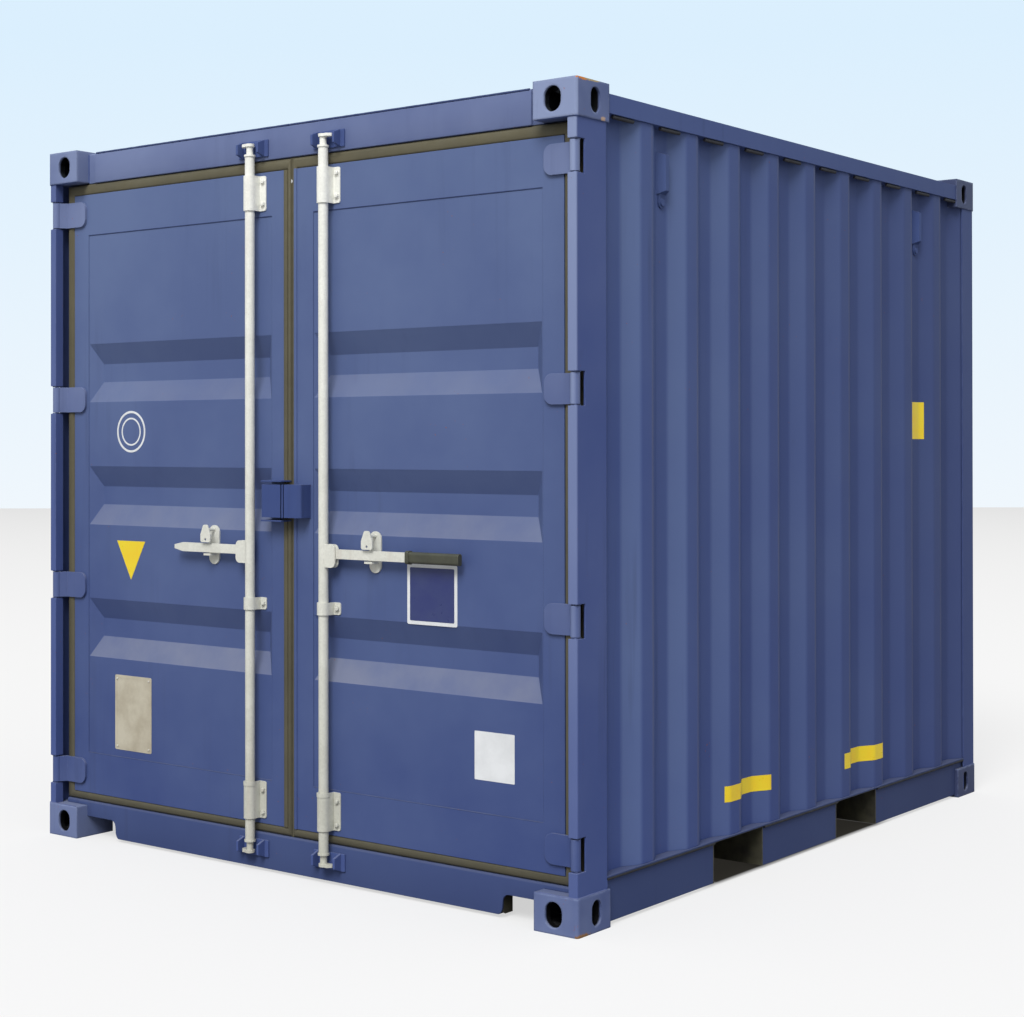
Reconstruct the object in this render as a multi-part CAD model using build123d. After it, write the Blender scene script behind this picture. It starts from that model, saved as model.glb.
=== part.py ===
from build123d import *
import os

# Ten foot steel box container, millimetres.
# Origin: middle of the base. +X runs from the door end to the closed end, +Z is up.
# Each corner is drawn once, in the right-hand door-end corner, with three local sizes:
# u goes in from the side plane, v goes in from the door-end plane, z goes up.
# The other corners and the left-hand side are mirror images.

# Overall envelope
LENGTH = 2991.0
WIDTH = 2438.0
HEIGHT = 2591.0

# Corner fittings
FITTING_LENGTH = 178.0
FITTING_WIDTH = 162.0
FITTING_HEIGHT = 118.0
FITTING_PLATE = 28.5
FITTING_OUTER_WALL = 30.0
FITTING_INNER_WALL = 12.0
FITTING_ROUND = 10.0
LIFT_SLOT_LENGTH = 124.0
LIFT_SLOT_WIDTH = 63.5
LIFT_END_SETBACK = 102.0
LIFT_SIDE_SETBACK = 89.5
END_HOLE_WIDTH = 63.5
END_HOLE_HEIGHT = 79.5
SIDE_HOLE_WIDTH = 51.0

# Frame members stand a little inside the fittings
FRAME_INSET = 4.0
POST_PLATE = 6.0
POST_LIP_WIDTH = 32.0
POST_LIP_DEPTH = 36.0
POST_DEPTH = 161.0
POST_ROUND = 5.0
STOP_SETBACK = 112.0
STOP_WIDTH = 104.0
STOP_DEPTH = 40.0
REAR_POST_DEPTH = 108.0
REAR_POST_WIDTH = 116.0
REAR_POST_LIP = 30.0

# Rails
RAIL_TUBE = 60.0
RAIL_TUBE_WALL = 4.0
TOP_RAIL_DROP = 28.0
BOTTOM_RAIL_LOW = 12.0
BOTTOM_RAIL_TOP = 156.0
BOTTOM_RAIL_PLATE = 4.5
BOTTOM_RAIL_FLANGE = 60.0
BOTTOM_RAIL_LIP = 10.0
SILL_FACE = 52.0
SILL_PLATE = 6.0
SILL_TOP = 120.0
SILL_FOOT = 58.0
SILL_NOTCH_WIDTH = 172.0
SILL_NOTCH_HEIGHT = 44.0
SILL_NOTCH_SLOPE = 24.0
HEADER_DEPTH = 113.0
HEADER_HEIGHT = 92.0
HEADER_TOP_DROP = 22.0

# Corrugated panels
SHEET = 2.0
SIDE_PITCH = 278.0
SIDE_MARGIN = 3.0
SIDE_RECESS_DEPTH = 36.0
SIDE_RECESS_FLAT = 70.0
SIDE_RECESS_SLOPE = 68.0
SIDE_WALL_END = 20.0
END_PITCH = 250.0
END_RECESS_DEPTH = 46.0
END_RECESS_FLAT = 110.0
END_RECESS_SLOPE = 18.0
ROOF_PITCH = 209.0
ROOF_RIB_HEIGHT = 20.0
ROOF_RIB_FLAT = 91.0
ROOF_RIB_SLOPE = 13.5
ROOF_SIDE_INSET = 20.0
ROOF_REAR_INSET = 30.0
ROOF_RIB_SETBACK = 130.0
ROOF_RIB_END_SLOPE = 40.0
ROOF_PLATE_LENGTH = 130.0
ROOF_PLATE_WIDTH = 250.0
ROOF_PLATE = 3.0

# Floor and understructure
FLOOR_THICKNESS = 28.0
FLOOR_GAP = 2.0
MEMBER_HEIGHT = 122.0
MEMBER_FLANGE = 45.0
MEMBER_PLATE = 4.0
POCKET_WIDTH = 342.0
POCKET_SPACING = 898.0
POCKET_MIDDLE = -55.0
POCKET_PLATE = 6.0

# Side vents
VENT_WIDTH = 58.0
VENT_HEIGHT = 183.0
VENT_TOP_DROP = 73.0
VENT_DEPTH = 26.0
VENT_RIDGE = 20.0
VENT_CHAMFER = 12.0
VENT_FLANGE_WIDTH = 38.0
VENT_FLANGE_HEIGHT = 44.0
VENT_FLANGE_PLATE = 5.0
VENT_BOSS_RADIUS = 12.0
VENT_BOSS_RISE = 5.0
VENT_SKIP_COUNT = 1

# Doors
LEAF_SIDE_GAP = 85.0
LEAF_CENTRE_GAP = 22.0
LEAF_LOW_GAP = 46.0
LEAF_TOP_GAP = 49.0
LEAF_FACE = 56.0
LEAF_DEPTH = 50.0
LEAF_PLATE = 4.0
HINGE_STILE = 80.0
CENTRE_STILE = 75.0
LEAF_RAIL = 154.0
PANEL_STEP = 2.0
PANEL_SHEET = 2.5
PRESSING_DEPTH = 36.0
PRESSING_HEIGHT = 220.0
PRESSING_MARGIN = 4.0
PRESSING_SLOPE = 76.0
PRESSING_END_SLOPE = 40.0
PRESSING_SHARES = (0.277, 0.497, 0.701)
SEAL_WIDTH = 40.0
SEAL_CENTRE_WIDTH = 17.5
SEAL_BODY = 12.0
SEAL_LIP = 4.0
SEAL_DEPTH = 46.0

# Hinges
HINGE_COUNT = 4
HINGE_LOW_RISE = 80.0
HINGE_TOP_DROP = 73.0
HINGE_HEIGHT = 95.0
PIN_SETBACK = 22.0
PIN_RADIUS = 7.0
PIN_CLEARANCE = 0.1
KNUCKLE_RADIUS = 15.5
LUG_GAP = 1.5
LUG_THICKNESS = 14.0
LUG_LENGTH = 26.0
BLADE_PLATE = 10.0
BLADE_START = 45.0
BLADE_END = 155.0
BLADE_ROUND = 30.0
HINGE_CUT_DEPTH = 50.0
HINGE_CUT_MARGIN = 5.0

# Lock bars, with their cams and keepers
BAR_OFFSET = 172.0
BAR_SETBACK = 24.0
BAR_RADIUS = 17.0
BAR_WALL = 4.0
BAR_LOW_REACH = 54.0
BAR_TOP_REACH = 50.0
CAM_PLATE = 10.0
CAM_REACH = 38.0
CAM_HALF = 13.0
CAM_NOSE = 16.0
NECK_RADIUS = 12.0
NECK_LENGTH = 28.0
COLLAR_RADIUS = 20.0
COLLAR_PLATE = 7.0
KEEPER_PLATE = 6.0
KEEPER_CHEEK = 9.0
KEEPER_FLANGE = 16.0
KEEPER_HEIGHT = 58.0
KEEPER_SHIFT = 6.0
KEEPER_LENGTH = 32.0
KEEPER_TAPER = 12.0
KEEPER_CLEARANCE = 11.0
KEEPER_BACK_GAP = 20.0
BAR_FIT = 0.5
GUIDE_WALL = 4.5
GUIDE_HALF_WIDTH = 50.0
GUIDE_PLATE = 4.0
GUIDE_ROUND = 8.0
GUIDE_RING = 1.5
GUIDE_RING_HEIGHT = 14.0
LOW_GUIDE_RISE = 19.0
LOW_GUIDE_HEIGHT = 128.0
TOP_GUIDE_DROP = 12.0
TOP_GUIDE_HEIGHT = 122.0
MIDDLE_GUIDE_DROP = 207.0
MIDDLE_GUIDE_HEIGHT = 42.0

# Handles: their level is a share of the leaf's height
HANDLE_LEVEL_SHARE = 0.42
HUB_DROP = 46.0
HUB_HEIGHT = 78.0
HUB_REACH = 60.0
HUB_PLATE = 5.0
HUB_ROUND = 18.0
HANDLE_HEIGHT = 32.0
HANDLE_PLATE = 9.0
HANDLE_ROOT = 22.0
HANDLE_PIVOT = 38.0
HANDLE_PIVOT_RADIUS = 6.0
HANDLE_SIDE_GAP = 1.0
HANDLE_TIP_LENGTH = 42.0
HANDLE_TIP_DROP = 9.0
LEFT_HANDLE_REACH = 374.0
RIGHT_HANDLE_REACH = 365.0
GRIP_REACH = 582.0
GRIP_HEIGHT = 38.0
GRIP_THICKNESS = 20.0
GRIP_ROUND = 9.0
GRIP_COLLAR = 14.0
GRIP_COLLAR_RISE = 3.0

# Handle rests and their hasps
REST_NEAR = 180.0
REST_WIDTH = 50.0
REST_HEIGHT = 138.0
REST_DROP = 59.0
REST_PLATE = 6.0
REST_HOOK = 7.0
REST_HOOK_GAP = 4.0
REST_HOOK_REACH = 36.0
REST_HOOK_WIDTH = 34.0
HASP_WIDTH = 48.0
HASP_RISE = 20.0
HASP_HEIGHT = 62.0
HASP_PLATE = 5.0
HASP_GAP = 7.0
HASP_CROWN = 20.0
HASP_CROWN_DROP = 34.0
HASP_CORNER = 8.0
HASP_PIVOT_DROP = 18.0
SEAL_HOLE_RADIUS = 4.5
SEAL_HOLE_RISE = 10.0
RIVET_RADIUS = 6.0

# Lock box, split at the gap between the doors
LOCK_BOX_RISE = 116.0
LOCK_BOX_HEIGHT = 113.0
LOCK_BOX_FRONT = 4.0
LOCK_BOX_PLATE = 5.0
LOCK_BOX_RIGHT = 85.0
LOCK_BOX_LEFT = 101.0
LOCK_BOX_SEAM = 4.5
LOCK_BOX_ROUND = 8.0
LEDGE_RISE = 9.0
LEDGE_PLATE = 5.0

# One overrun serves all cuts
OVERRUN = 5.0


# Helpers

def span_box(x_low, x_high, y_low, y_high, z_low, z_high):
    """Box between two opposite corners."""
    middle = Pos((x_low + x_high) / 2, (y_low + y_high) / 2, (z_low + z_high) / 2)
    return middle * Box(x_high - x_low, y_high - y_low, z_high - z_low)


def block(u_low, u_high, v_low, v_high, z_low, z_high):
    """Box in the local sizes of the right-hand door-end corner."""
    return span_box(v_low - LENGTH / 2, v_high - LENGTH / 2, u_low - WIDTH / 2, u_high - WIDTH / 2, z_low, z_high)


def place(u, v):
    """Global x and y of a local point."""
    return v - LENGTH / 2, u - WIDTH / 2


def prism(points, z_low, z_high):
    """Upright prism over an outline of (u, v) points."""
    outline = Polyline(*[place(u, v) for u, v in points], close=True)
    return Pos(0, 0, z_low) * extrude(make_face(outline), amount=z_high - z_low, dir=(0, 0, 1))


def across(points, u_low, u_high):
    """Prism that runs across the box over an outline of (v, z) points."""
    outline = Polyline(*[(v - LENGTH / 2, u_low - WIDTH / 2, z) for v, z in points], close=True)
    return extrude(make_face(outline), amount=u_high - u_low, dir=(0, 1, 0))


def along(points, v_low, v_high):
    """Prism that runs along the box over an outline of (u, z) points."""
    outline = Polyline(*[(v_low - LENGTH / 2, u - WIDTH / 2, z) for u, z in points], close=True)
    return extrude(make_face(outline), amount=v_high - v_low, dir=(1, 0, 0))


def rod(u, v, radius, z_low, z_high):
    """Upright cylinder at a local point."""
    x, y = place(u, v)
    return Pos(x, y, (z_low + z_high) / 2) * Cylinder(radius, z_high - z_low)


def left(shape):
    """Mirror image on the left-hand side."""
    return mirror(shape, about=Plane.XZ)


def rear(shape):
    """Mirror image at the closed end."""
    return mirror(shape, about=Plane.YZ)


def upper(shape):
    """Mirror image at the roof."""
    return mirror(shape, about=Plane.XY.offset(HEIGHT / 2))


def both(shape):
    """The shape and its mirror image on the left-hand side."""
    return [shape, left(shape)]


def trapezoid_line(first, pitch, count, flat, slope, shallow, deep, start, end):
    """Points of a corrugated line: flats at shallow, dips to deep."""
    points = [(start, shallow)]
    for index in range(count):
        middle = first + pitch * index
        points.append((middle - flat / 2 - slope, shallow))
        points.append((middle - flat / 2, deep))
        points.append((middle + flat / 2, deep))
        points.append((middle + flat / 2 + slope, shallow))
    points.append((end, shallow))
    return points


def thicken(line, thickness):
    """Closed outline of a sheet on one side of a line."""
    return line + [(run, level + thickness) for run, level in reversed(line)]


def pattern_count(room, width, pitch):
    """How many dips of one width fit into a room at one pitch."""
    return 1 + int((room - width) / pitch)


def fitting_space():
    """Room that one lower door-end fitting takes up."""
    return block(0, FITTING_WIDTH, 0, FITTING_LENGTH, 0, FITTING_HEIGHT)


def all_fitting_spaces():
    """Room that the eight fittings take up."""
    lower = both(fitting_space())
    lower += [rear(shape) for shape in lower]
    return lower + [upper(shape) for shape in lower]


def without_fittings(shape):
    """The shape with the room of the fittings taken out."""
    for space in all_fitting_spaces():
        shape = shape - space
    return shape


# Corner fittings

def corner_fitting():
    """Hollow casting with a slot below, a hole in its end and a hole in its side."""
    level = FITTING_HEIGHT / 2
    x, y = place(LIFT_SIDE_SETBACK, LIFT_END_SETBACK)
    body = fitting_space()
    outer = body.edges().filter_by(Axis.Z).sort_by_distance(Vector(*place(0, 0), level))[0]
    body = fillet(outer, FITTING_ROUND)
    cavity = block(
        FITTING_OUTER_WALL, FITTING_WIDTH - FITTING_INNER_WALL,
        FITTING_OUTER_WALL, FITTING_LENGTH - FITTING_INNER_WALL,
        FITTING_PLATE, FITTING_HEIGHT - FITTING_PLATE,
    )
    slot = extrude(SlotOverall(LIFT_SLOT_LENGTH, LIFT_SLOT_WIDTH), amount=FITTING_PLATE + OVERRUN)
    slot = Pos(x, y, -OVERRUN / 2) * slot
    end_cut = extrude(SlotOverall(END_HOLE_HEIGHT, END_HOLE_WIDTH), amount=FITTING_OUTER_WALL + OVERRUN)
    end_cut = Pos(-LENGTH / 2 - OVERRUN / 2, y, level) * Rot(0, 90, 0) * end_cut
    side_cut = extrude(SlotOverall(END_HOLE_HEIGHT, SIDE_HOLE_WIDTH), amount=FITTING_OUTER_WALL + OVERRUN)
    side_cut = Pos(x, -WIDTH / 2 - OVERRUN / 2, level) * Rot(-90, 0, 0) * Rot(0, 0, 90) * side_cut
    return body - cavity - slot - end_cut - side_cut


def bottom_fittings():
    """The four lower castings."""
    pair = both(corner_fitting())
    return pair + [rear(shape) for shape in pair]


def top_fittings():
    """The four upper castings."""
    return [upper(shape) for shape in bottom_fittings()]


# Posts

def header_underside():
    """Height of the door header's lower face."""
    return HEIGHT - HEADER_TOP_DROP - HEADER_HEIGHT


def leaf_low():
    """Height of a leaf's lower edge."""
    return SILL_TOP + LEAF_LOW_GAP


def leaf_top():
    """Height of a leaf's upper edge."""
    return header_underside() - LEAF_TOP_GAP


def hinge_middles():
    """Heights of the hinges, evenly spread between the lowest and the highest."""
    first = leaf_low() + HINGE_LOW_RISE
    last = leaf_top() - HINGE_TOP_DROP
    pitch = (last - first) / (HINGE_COUNT - 1)
    return [first + pitch * index for index in range(HINGE_COUNT)]


def door_post():
    """J-shaped post with its door stop, cut away in front of each hinge."""
    face = FRAME_INSET
    inner = FRAME_INSET + POST_PLATE
    lip = FRAME_INSET + POST_LIP_WIDTH
    lip_end = FRAME_INSET + POST_LIP_DEPTH
    back = FRAME_INSET + POST_DEPTH
    outline = [
        (face, face), (lip, face), (lip, lip_end), (lip - POST_PLATE, lip_end),
        (lip - POST_PLATE, inner), (inner, inner), (inner, STOP_SETBACK), (STOP_WIDTH, STOP_SETBACK),
        (STOP_WIDTH, STOP_SETBACK + STOP_DEPTH), (STOP_WIDTH - POST_PLATE, STOP_SETBACK + STOP_DEPTH),
        (STOP_WIDTH - POST_PLATE, STOP_SETBACK + POST_PLATE), (inner, STOP_SETBACK + POST_PLATE),
        (inner, back), (face, back),
    ]
    post = prism(outline, FITTING_HEIGHT, HEIGHT - FITTING_HEIGHT)
    corner = post.edges().filter_by(Axis.Z).sort_by_distance(Vector(*place(face, face), HEIGHT / 2))[0]
    post = fillet(corner, POST_ROUND)
    reach = HINGE_HEIGHT / 2 + HINGE_CUT_MARGIN
    for middle in hinge_middles():
        post = post - block(0, lip + OVERRUN, 0, HINGE_CUT_DEPTH, middle - reach, middle + reach)
    return post


def rear_post():
    """Pressed angle with a return lip on its end face."""
    face = FRAME_INSET
    inner = FRAME_INSET + POST_PLATE
    width = FRAME_INSET + REAR_POST_WIDTH
    outline = [
        (face, face), (width, face), (width, face + REAR_POST_LIP), (width - POST_PLATE, face + REAR_POST_LIP),
        (width - POST_PLATE, inner), (inner, inner), (inner, face + REAR_POST_DEPTH), (face, face + REAR_POST_DEPTH),
    ]
    post = prism(outline, FITTING_HEIGHT, HEIGHT - FITTING_HEIGHT)
    corner = post.edges().filter_by(Axis.Z).sort_by_distance(Vector(*place(face, face), HEIGHT / 2))[0]
    return rear(fillet(corner, POST_ROUND))


# Rails

def square_tube(low_run, high_run):
    """Cross-section outline pair of a top rail: outer and inner squares."""
    top = HEIGHT - TOP_RAIL_DROP
    outer = [(low_run, top - RAIL_TUBE), (high_run, top - RAIL_TUBE), (high_run, top), (low_run, top)]
    wall = RAIL_TUBE_WALL
    hollow = [
        (low_run + wall, top - RAIL_TUBE + wall), (high_run - wall, top - RAIL_TUBE + wall),
        (high_run - wall, top - wall), (low_run + wall, top - wall),
    ]
    return outer, hollow


def top_side_rail():
    """Square tube along the roof edge."""
    outer, hollow = square_tube(FRAME_INSET, FRAME_INSET + RAIL_TUBE)
    start = FITTING_LENGTH
    end = LENGTH - FITTING_LENGTH
    return along(outer, start, end) - along(hollow, start - OVERRUN, end + OVERRUN)


def rear_top_rail():
    """Square tube across the top of the closed end."""
    outer, hollow = square_tube(FRAME_INSET, FRAME_INSET + RAIL_TUBE)
    start = FITTING_WIDTH
    end = WIDTH - FITTING_WIDTH
    return rear(across(outer, start, end) - across(hollow, start - OVERRUN, end + OVERRUN))


def pocket_spans():
    """Local v range of each fork pocket."""
    middle = LENGTH / 2 + POCKET_MIDDLE
    starts = [middle + shift * POCKET_SPACING / 2 - POCKET_WIDTH / 2 for shift in (-1, 1)]
    return [(start, start + POCKET_WIDTH) for start in starts]


def web_face():
    """Local u of the outer face of the bottom rail's web."""
    return FRAME_INSET + BOTTOM_RAIL_LIP


def bottom_side_rail():
    """Channel with a projecting top lip, cut out at the fork pockets."""
    plate = BOTTOM_RAIL_PLATE
    outer = web_face()
    inner = FRAME_INSET + BOTTOM_RAIL_FLANGE
    outline = [
        (FRAME_INSET, BOTTOM_RAIL_TOP), (FRAME_INSET, BOTTOM_RAIL_TOP - plate), (outer, BOTTOM_RAIL_TOP - plate),
        (outer, BOTTOM_RAIL_LOW), (inner, BOTTOM_RAIL_LOW), (inner, BOTTOM_RAIL_LOW + plate),
        (outer + plate, BOTTOM_RAIL_LOW + plate), (outer + plate, BOTTOM_RAIL_TOP - plate),
        (inner, BOTTOM_RAIL_TOP - plate), (inner, BOTTOM_RAIL_TOP),
    ]
    start = FRAME_INSET + POST_DEPTH
    end = LENGTH - FRAME_INSET - REAR_POST_DEPTH
    rail = without_fittings(along(outline, start, end))
    for low, high in pocket_spans():
        rail = rail - block(0, inner + OVERRUN, low, high, 0, BOTTOM_RAIL_TOP - plate)
    return rail


def rear_bottom_rail():
    """Channel across the foot of the closed end."""
    plate = BOTTOM_RAIL_PLATE
    outer = web_face()
    inner = FRAME_INSET + BOTTOM_RAIL_FLANGE
    outline = [
        (outer, BOTTOM_RAIL_LOW), (inner, BOTTOM_RAIL_LOW), (inner, BOTTOM_RAIL_LOW + plate),
        (outer + plate, BOTTOM_RAIL_LOW + plate), (outer + plate, BOTTOM_RAIL_TOP - plate),
        (inner, BOTTOM_RAIL_TOP - plate), (inner, BOTTOM_RAIL_TOP), (FRAME_INSET, BOTTOM_RAIL_TOP),
        (FRAME_INSET, BOTTOM_RAIL_TOP - plate), (outer, BOTTOM_RAIL_TOP - plate),
    ]
    return rear(across(outline, FITTING_WIDTH, WIDTH - FITTING_WIDTH))


def floor_top():
    """Height of the floor."""
    return BOTTOM_RAIL_TOP + FLOOR_THICKNESS


def door_sill():
    """Folded sill with a riser to the floor and a raised notch beside each fitting."""
    plate = SILL_PLATE
    back = FITTING_LENGTH
    outline = [
        (SILL_FACE, BOTTOM_RAIL_LOW), (SILL_FACE + SILL_FOOT, BOTTOM_RAIL_LOW),
        (SILL_FACE + SILL_FOOT, BOTTOM_RAIL_LOW + plate), (SILL_FACE + plate, BOTTOM_RAIL_LOW + plate),
        (SILL_FACE + plate, SILL_TOP - plate), (back, SILL_TOP - plate), (back, floor_top()),
        (back - plate, floor_top()), (back - plate, SILL_TOP), (SILL_FACE, SILL_TOP),
    ]
    sill = across(outline, FITTING_WIDTH, WIDTH - FITTING_WIDTH)
    notch_top = BOTTOM_RAIL_LOW + SILL_NOTCH_HEIGHT
    notch_end = FITTING_WIDTH + SILL_NOTCH_WIDTH
    notch = [
        (FITTING_WIDTH - OVERRUN, 0), (notch_end, 0), (notch_end - SILL_NOTCH_SLOPE, notch_top),
        (FITTING_WIDTH - OVERRUN, notch_top),
    ]
    cut = along(notch, SILL_FACE - OVERRUN, SILL_FACE + SILL_FOOT + OVERRUN)
    return sill - cut - left(cut)


def door_header():
    """Folded box over the doors."""
    top = HEIGHT - HEADER_TOP_DROP
    low = header_underside()
    back = SILL_FACE + HEADER_DEPTH
    wall = RAIL_TUBE_WALL
    outer = [(SILL_FACE, low), (back, low), (back, top), (SILL_FACE, top)]
    hollow = [
        (SILL_FACE + wall, low + wall), (back - wall, low + wall),
        (back - wall, top - wall), (SILL_FACE + wall, top - wall),
    ]
    tube = across(outer, FITTING_WIDTH, WIDTH - FITTING_WIDTH)
    return tube - across(hollow, FITTING_WIDTH - OVERRUN, WIDTH - FITTING_WIDTH + OVERRUN)


# Walls, roof and floor

def wall_face():
    """Local u of the outer flats of the corrugated walls."""
    return FRAME_INSET + POST_PLATE


def wall_top():
    """Height of the upper edge of the walls, under the top rails."""
    return HEIGHT - TOP_RAIL_DROP - RAIL_TUBE


def side_recesses():
    """Local v of the middle of each recess of a side wall."""
    post_back = FRAME_INSET + POST_DEPTH
    rear_front = LENGTH - FRAME_INSET - REAR_POST_DEPTH
    width = SIDE_RECESS_FLAT + 2 * SIDE_RECESS_SLOPE
    first = post_back + SIDE_MARGIN + width / 2
    count = pattern_count(rear_front - post_back - SIDE_MARGIN, width, SIDE_PITCH)
    return [first + SIDE_PITCH * index for index in range(count)]


def side_wall():
    """Corrugated side sheet between the posts and the rails."""
    deep = wall_face() + SIDE_RECESS_DEPTH
    start = FRAME_INSET + POST_DEPTH - SIDE_WALL_END
    end = LENGTH - FRAME_INSET - REAR_POST_DEPTH + SIDE_WALL_END
    recesses = side_recesses()
    line = trapezoid_line(
        recesses[0], SIDE_PITCH, len(recesses), SIDE_RECESS_FLAT, SIDE_RECESS_SLOPE,
        wall_face(), deep, start, end,
    )
    outline = [(u, v) for v, u in thicken(line, SHEET)]
    return without_fittings(prism(outline, BOTTOM_RAIL_TOP, wall_top()))


def end_wall():
    """Corrugated sheet that closes the rear end."""
    start = FRAME_INSET + REAR_POST_WIDTH
    count = pattern_count(WIDTH - 2 * start, END_RECESS_FLAT + 2 * END_RECESS_SLOPE, END_PITCH)
    first = WIDTH / 2 - END_PITCH * (count - 1) / 2
    line = trapezoid_line(
        first, END_PITCH, count, END_RECESS_FLAT, END_RECESS_SLOPE,
        wall_face(), wall_face() + END_RECESS_DEPTH, start, WIDTH - start,
    )
    sheet = prism(thicken(line, SHEET), BOTTOM_RAIL_TOP, wall_top())
    return without_fittings(rear(sheet))


def roof_base():
    """Height of the underside of the roof sheet's low flats."""
    return HEIGHT - TOP_RAIL_DROP


def trapezoid(middle, base, top, low, high):
    """Outline of a wedge that narrows from its base at low to its top at high."""
    return [(middle - base / 2, low), (middle + base / 2, low), (middle + top / 2, high), (middle - top / 2, high)]


def roof_rib(middle, grow):
    """Raised pressing across the roof, as a solid that is larger by grow."""
    low = roof_base()
    high = low + ROOF_RIB_HEIGHT + grow
    base = ROOF_RIB_FLAT + 2 * ROOF_RIB_SLOPE + 2 * grow
    span = WIDTH - 2 * ROOF_RIB_SETBACK + 2 * grow
    ridge = across(trapezoid(middle, base, base - 2 * ROOF_RIB_SLOPE, low, high), 0, WIDTH)
    ends = trapezoid(WIDTH / 2, span, span - 2 * ROOF_RIB_END_SLOPE, low, high)
    return ridge & along(ends, 0, LENGTH)


def roof_panel():
    """Roof sheet between the fittings, with ribs pressed up across it."""
    sheet = block(
        ROOF_SIDE_INSET, WIDTH - ROOF_SIDE_INSET, SILL_FACE + HEADER_DEPTH, LENGTH - FITTING_LENGTH,
        roof_base(), roof_base() + SHEET,
    )
    plate_end = FITTING_LENGTH + ROOF_PLATE_LENGTH
    count = pattern_count(LENGTH - 2 * plate_end, ROOF_RIB_FLAT + 2 * ROOF_RIB_SLOPE, ROOF_PITCH)
    first = (LENGTH - ROOF_PITCH * (count - 1)) / 2
    middles = [first + ROOF_PITCH * index for index in range(count)]
    for middle in middles:
        sheet = sheet + roof_rib(middle, SHEET)
    for middle in middles:
        sheet = sheet - roof_rib(middle, 0)
    return without_fittings(sheet)


def roof_end_plate():
    """Flat plate that closes the roof between the two rear fittings."""
    return block(
        FITTING_WIDTH, WIDTH - FITTING_WIDTH, LENGTH - FITTING_LENGTH, LENGTH - ROOF_REAR_INSET,
        roof_base(), roof_base() + ROOF_PLATE,
    )


def roof_corner_plates():
    """Doubler plates on the roof beside the four upper fittings."""
    low = roof_base() + SHEET
    plate = block(
        ROOF_SIDE_INSET, ROOF_PLATE_WIDTH, FITTING_LENGTH, FITTING_LENGTH + ROOF_PLATE_LENGTH,
        low, low + ROOF_PLATE,
    )
    pair = both(plate)
    return pair + [rear(shape) for shape in pair]


def plywood_floor():
    """Plywood floor on the cross members."""
    gap = wall_face() + SIDE_RECESS_DEPTH + SHEET + FLOOR_GAP
    end = LENGTH - wall_face() - END_RECESS_DEPTH - SHEET - FLOOR_GAP
    return block(gap, WIDTH - gap, FITTING_LENGTH, end, BOTTOM_RAIL_TOP, floor_top())


def cross_member(v):
    """One channel across the underside, open towards the closed end."""
    low = BOTTOM_RAIL_TOP - MEMBER_HEIGHT
    plate = MEMBER_PLATE
    outline = [
        (v, low), (v + MEMBER_FLANGE, low), (v + MEMBER_FLANGE, low + plate), (v + plate, low + plate),
        (v + plate, BOTTOM_RAIL_TOP - plate), (v + MEMBER_FLANGE, BOTTOM_RAIL_TOP - plate),
        (v + MEMBER_FLANGE, BOTTOM_RAIL_TOP), (v, BOTTOM_RAIL_TOP),
    ]
    inset = FRAME_INSET + BOTTOM_RAIL_FLANGE
    return across(outline, inset, WIDTH - inset)


def cross_members():
    """Channels in the three bays beside and between the fork pockets."""
    first_pocket, second_pocket = pocket_spans()
    rail_back = LENGTH - FRAME_INSET - BOTTOM_RAIL_FLANGE
    bays = [
        (FITTING_LENGTH, first_pocket[0], 2),
        (first_pocket[1], second_pocket[0], 1),
        (second_pocket[1], rail_back, 2),
    ]
    members = []
    for start, end, count in bays:
        step = (end - start) / (count + 1)
        for index in range(count):
            members.append(cross_member(start + step * (index + 1) - MEMBER_FLANGE / 2))
    return members


def fork_pockets():
    """Two inverted channels across the underside, open at both ends and below."""
    pockets = []
    inset = web_face()
    top = BOTTOM_RAIL_TOP - BOTTOM_RAIL_PLATE
    for low, high in pocket_spans():
        body = block(inset, WIDTH - inset, low, high, BOTTOM_RAIL_LOW, top)
        hollow = block(
            0, WIDTH, low + POCKET_PLATE, high - POCKET_PLATE, 0, top - POCKET_PLATE,
        )
        pockets.append(body - hollow)
    return pockets


def side_vents():
    """Ridged vent hoods, each with a flange and a boss below, near both ends of each side."""
    covers = []
    recesses = side_recesses()
    base = wall_face() + SIDE_RECESS_DEPTH - WIDTH / 2
    top = wall_top() - VENT_TOP_DROP
    low = top - VENT_HEIGHT
    hood_low = low + VENT_FLANGE_HEIGHT
    for middle in (recesses[VENT_SKIP_COUNT], recesses[-1 - VENT_SKIP_COUNT]):
        x = middle - LENGTH / 2
        wall = Plane(origin=(x, base, (hood_low + top) / 2), x_dir=(1, 0, 0), z_dir=(0, -1, 0))
        front = wall.offset(VENT_DEPTH)
        wide = wall * Rectangle(VENT_WIDTH, top - hood_low)
        ridge = front * Rectangle(VENT_RIDGE, top - hood_low - 2 * VENT_CHAMFER)
        hood = loft([wide.face(), ridge.face()])
        flange = wall * Pos(0, -(top - hood_low) / 2) * extrude(
            SlotOverall(2 * VENT_FLANGE_HEIGHT, VENT_FLANGE_WIDTH, rotation=90), amount=VENT_FLANGE_PLATE)
        boss = Pos(x, base - VENT_FLANGE_PLATE - VENT_BOSS_RISE / 2, low + VENT_FLANGE_WIDTH / 2)
        boss = boss * Rot(90, 0, 0) * Cylinder(VENT_BOSS_RADIUS, VENT_BOSS_RISE)
        covers += both(hood + flange + boss)
    return covers


# Doors: drawn as the right-hand leaf

def leaf_centre():
    """Local u of the leaf's edge at the middle of the container."""
    return WIDTH / 2 - LEAF_CENTRE_GAP


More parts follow.
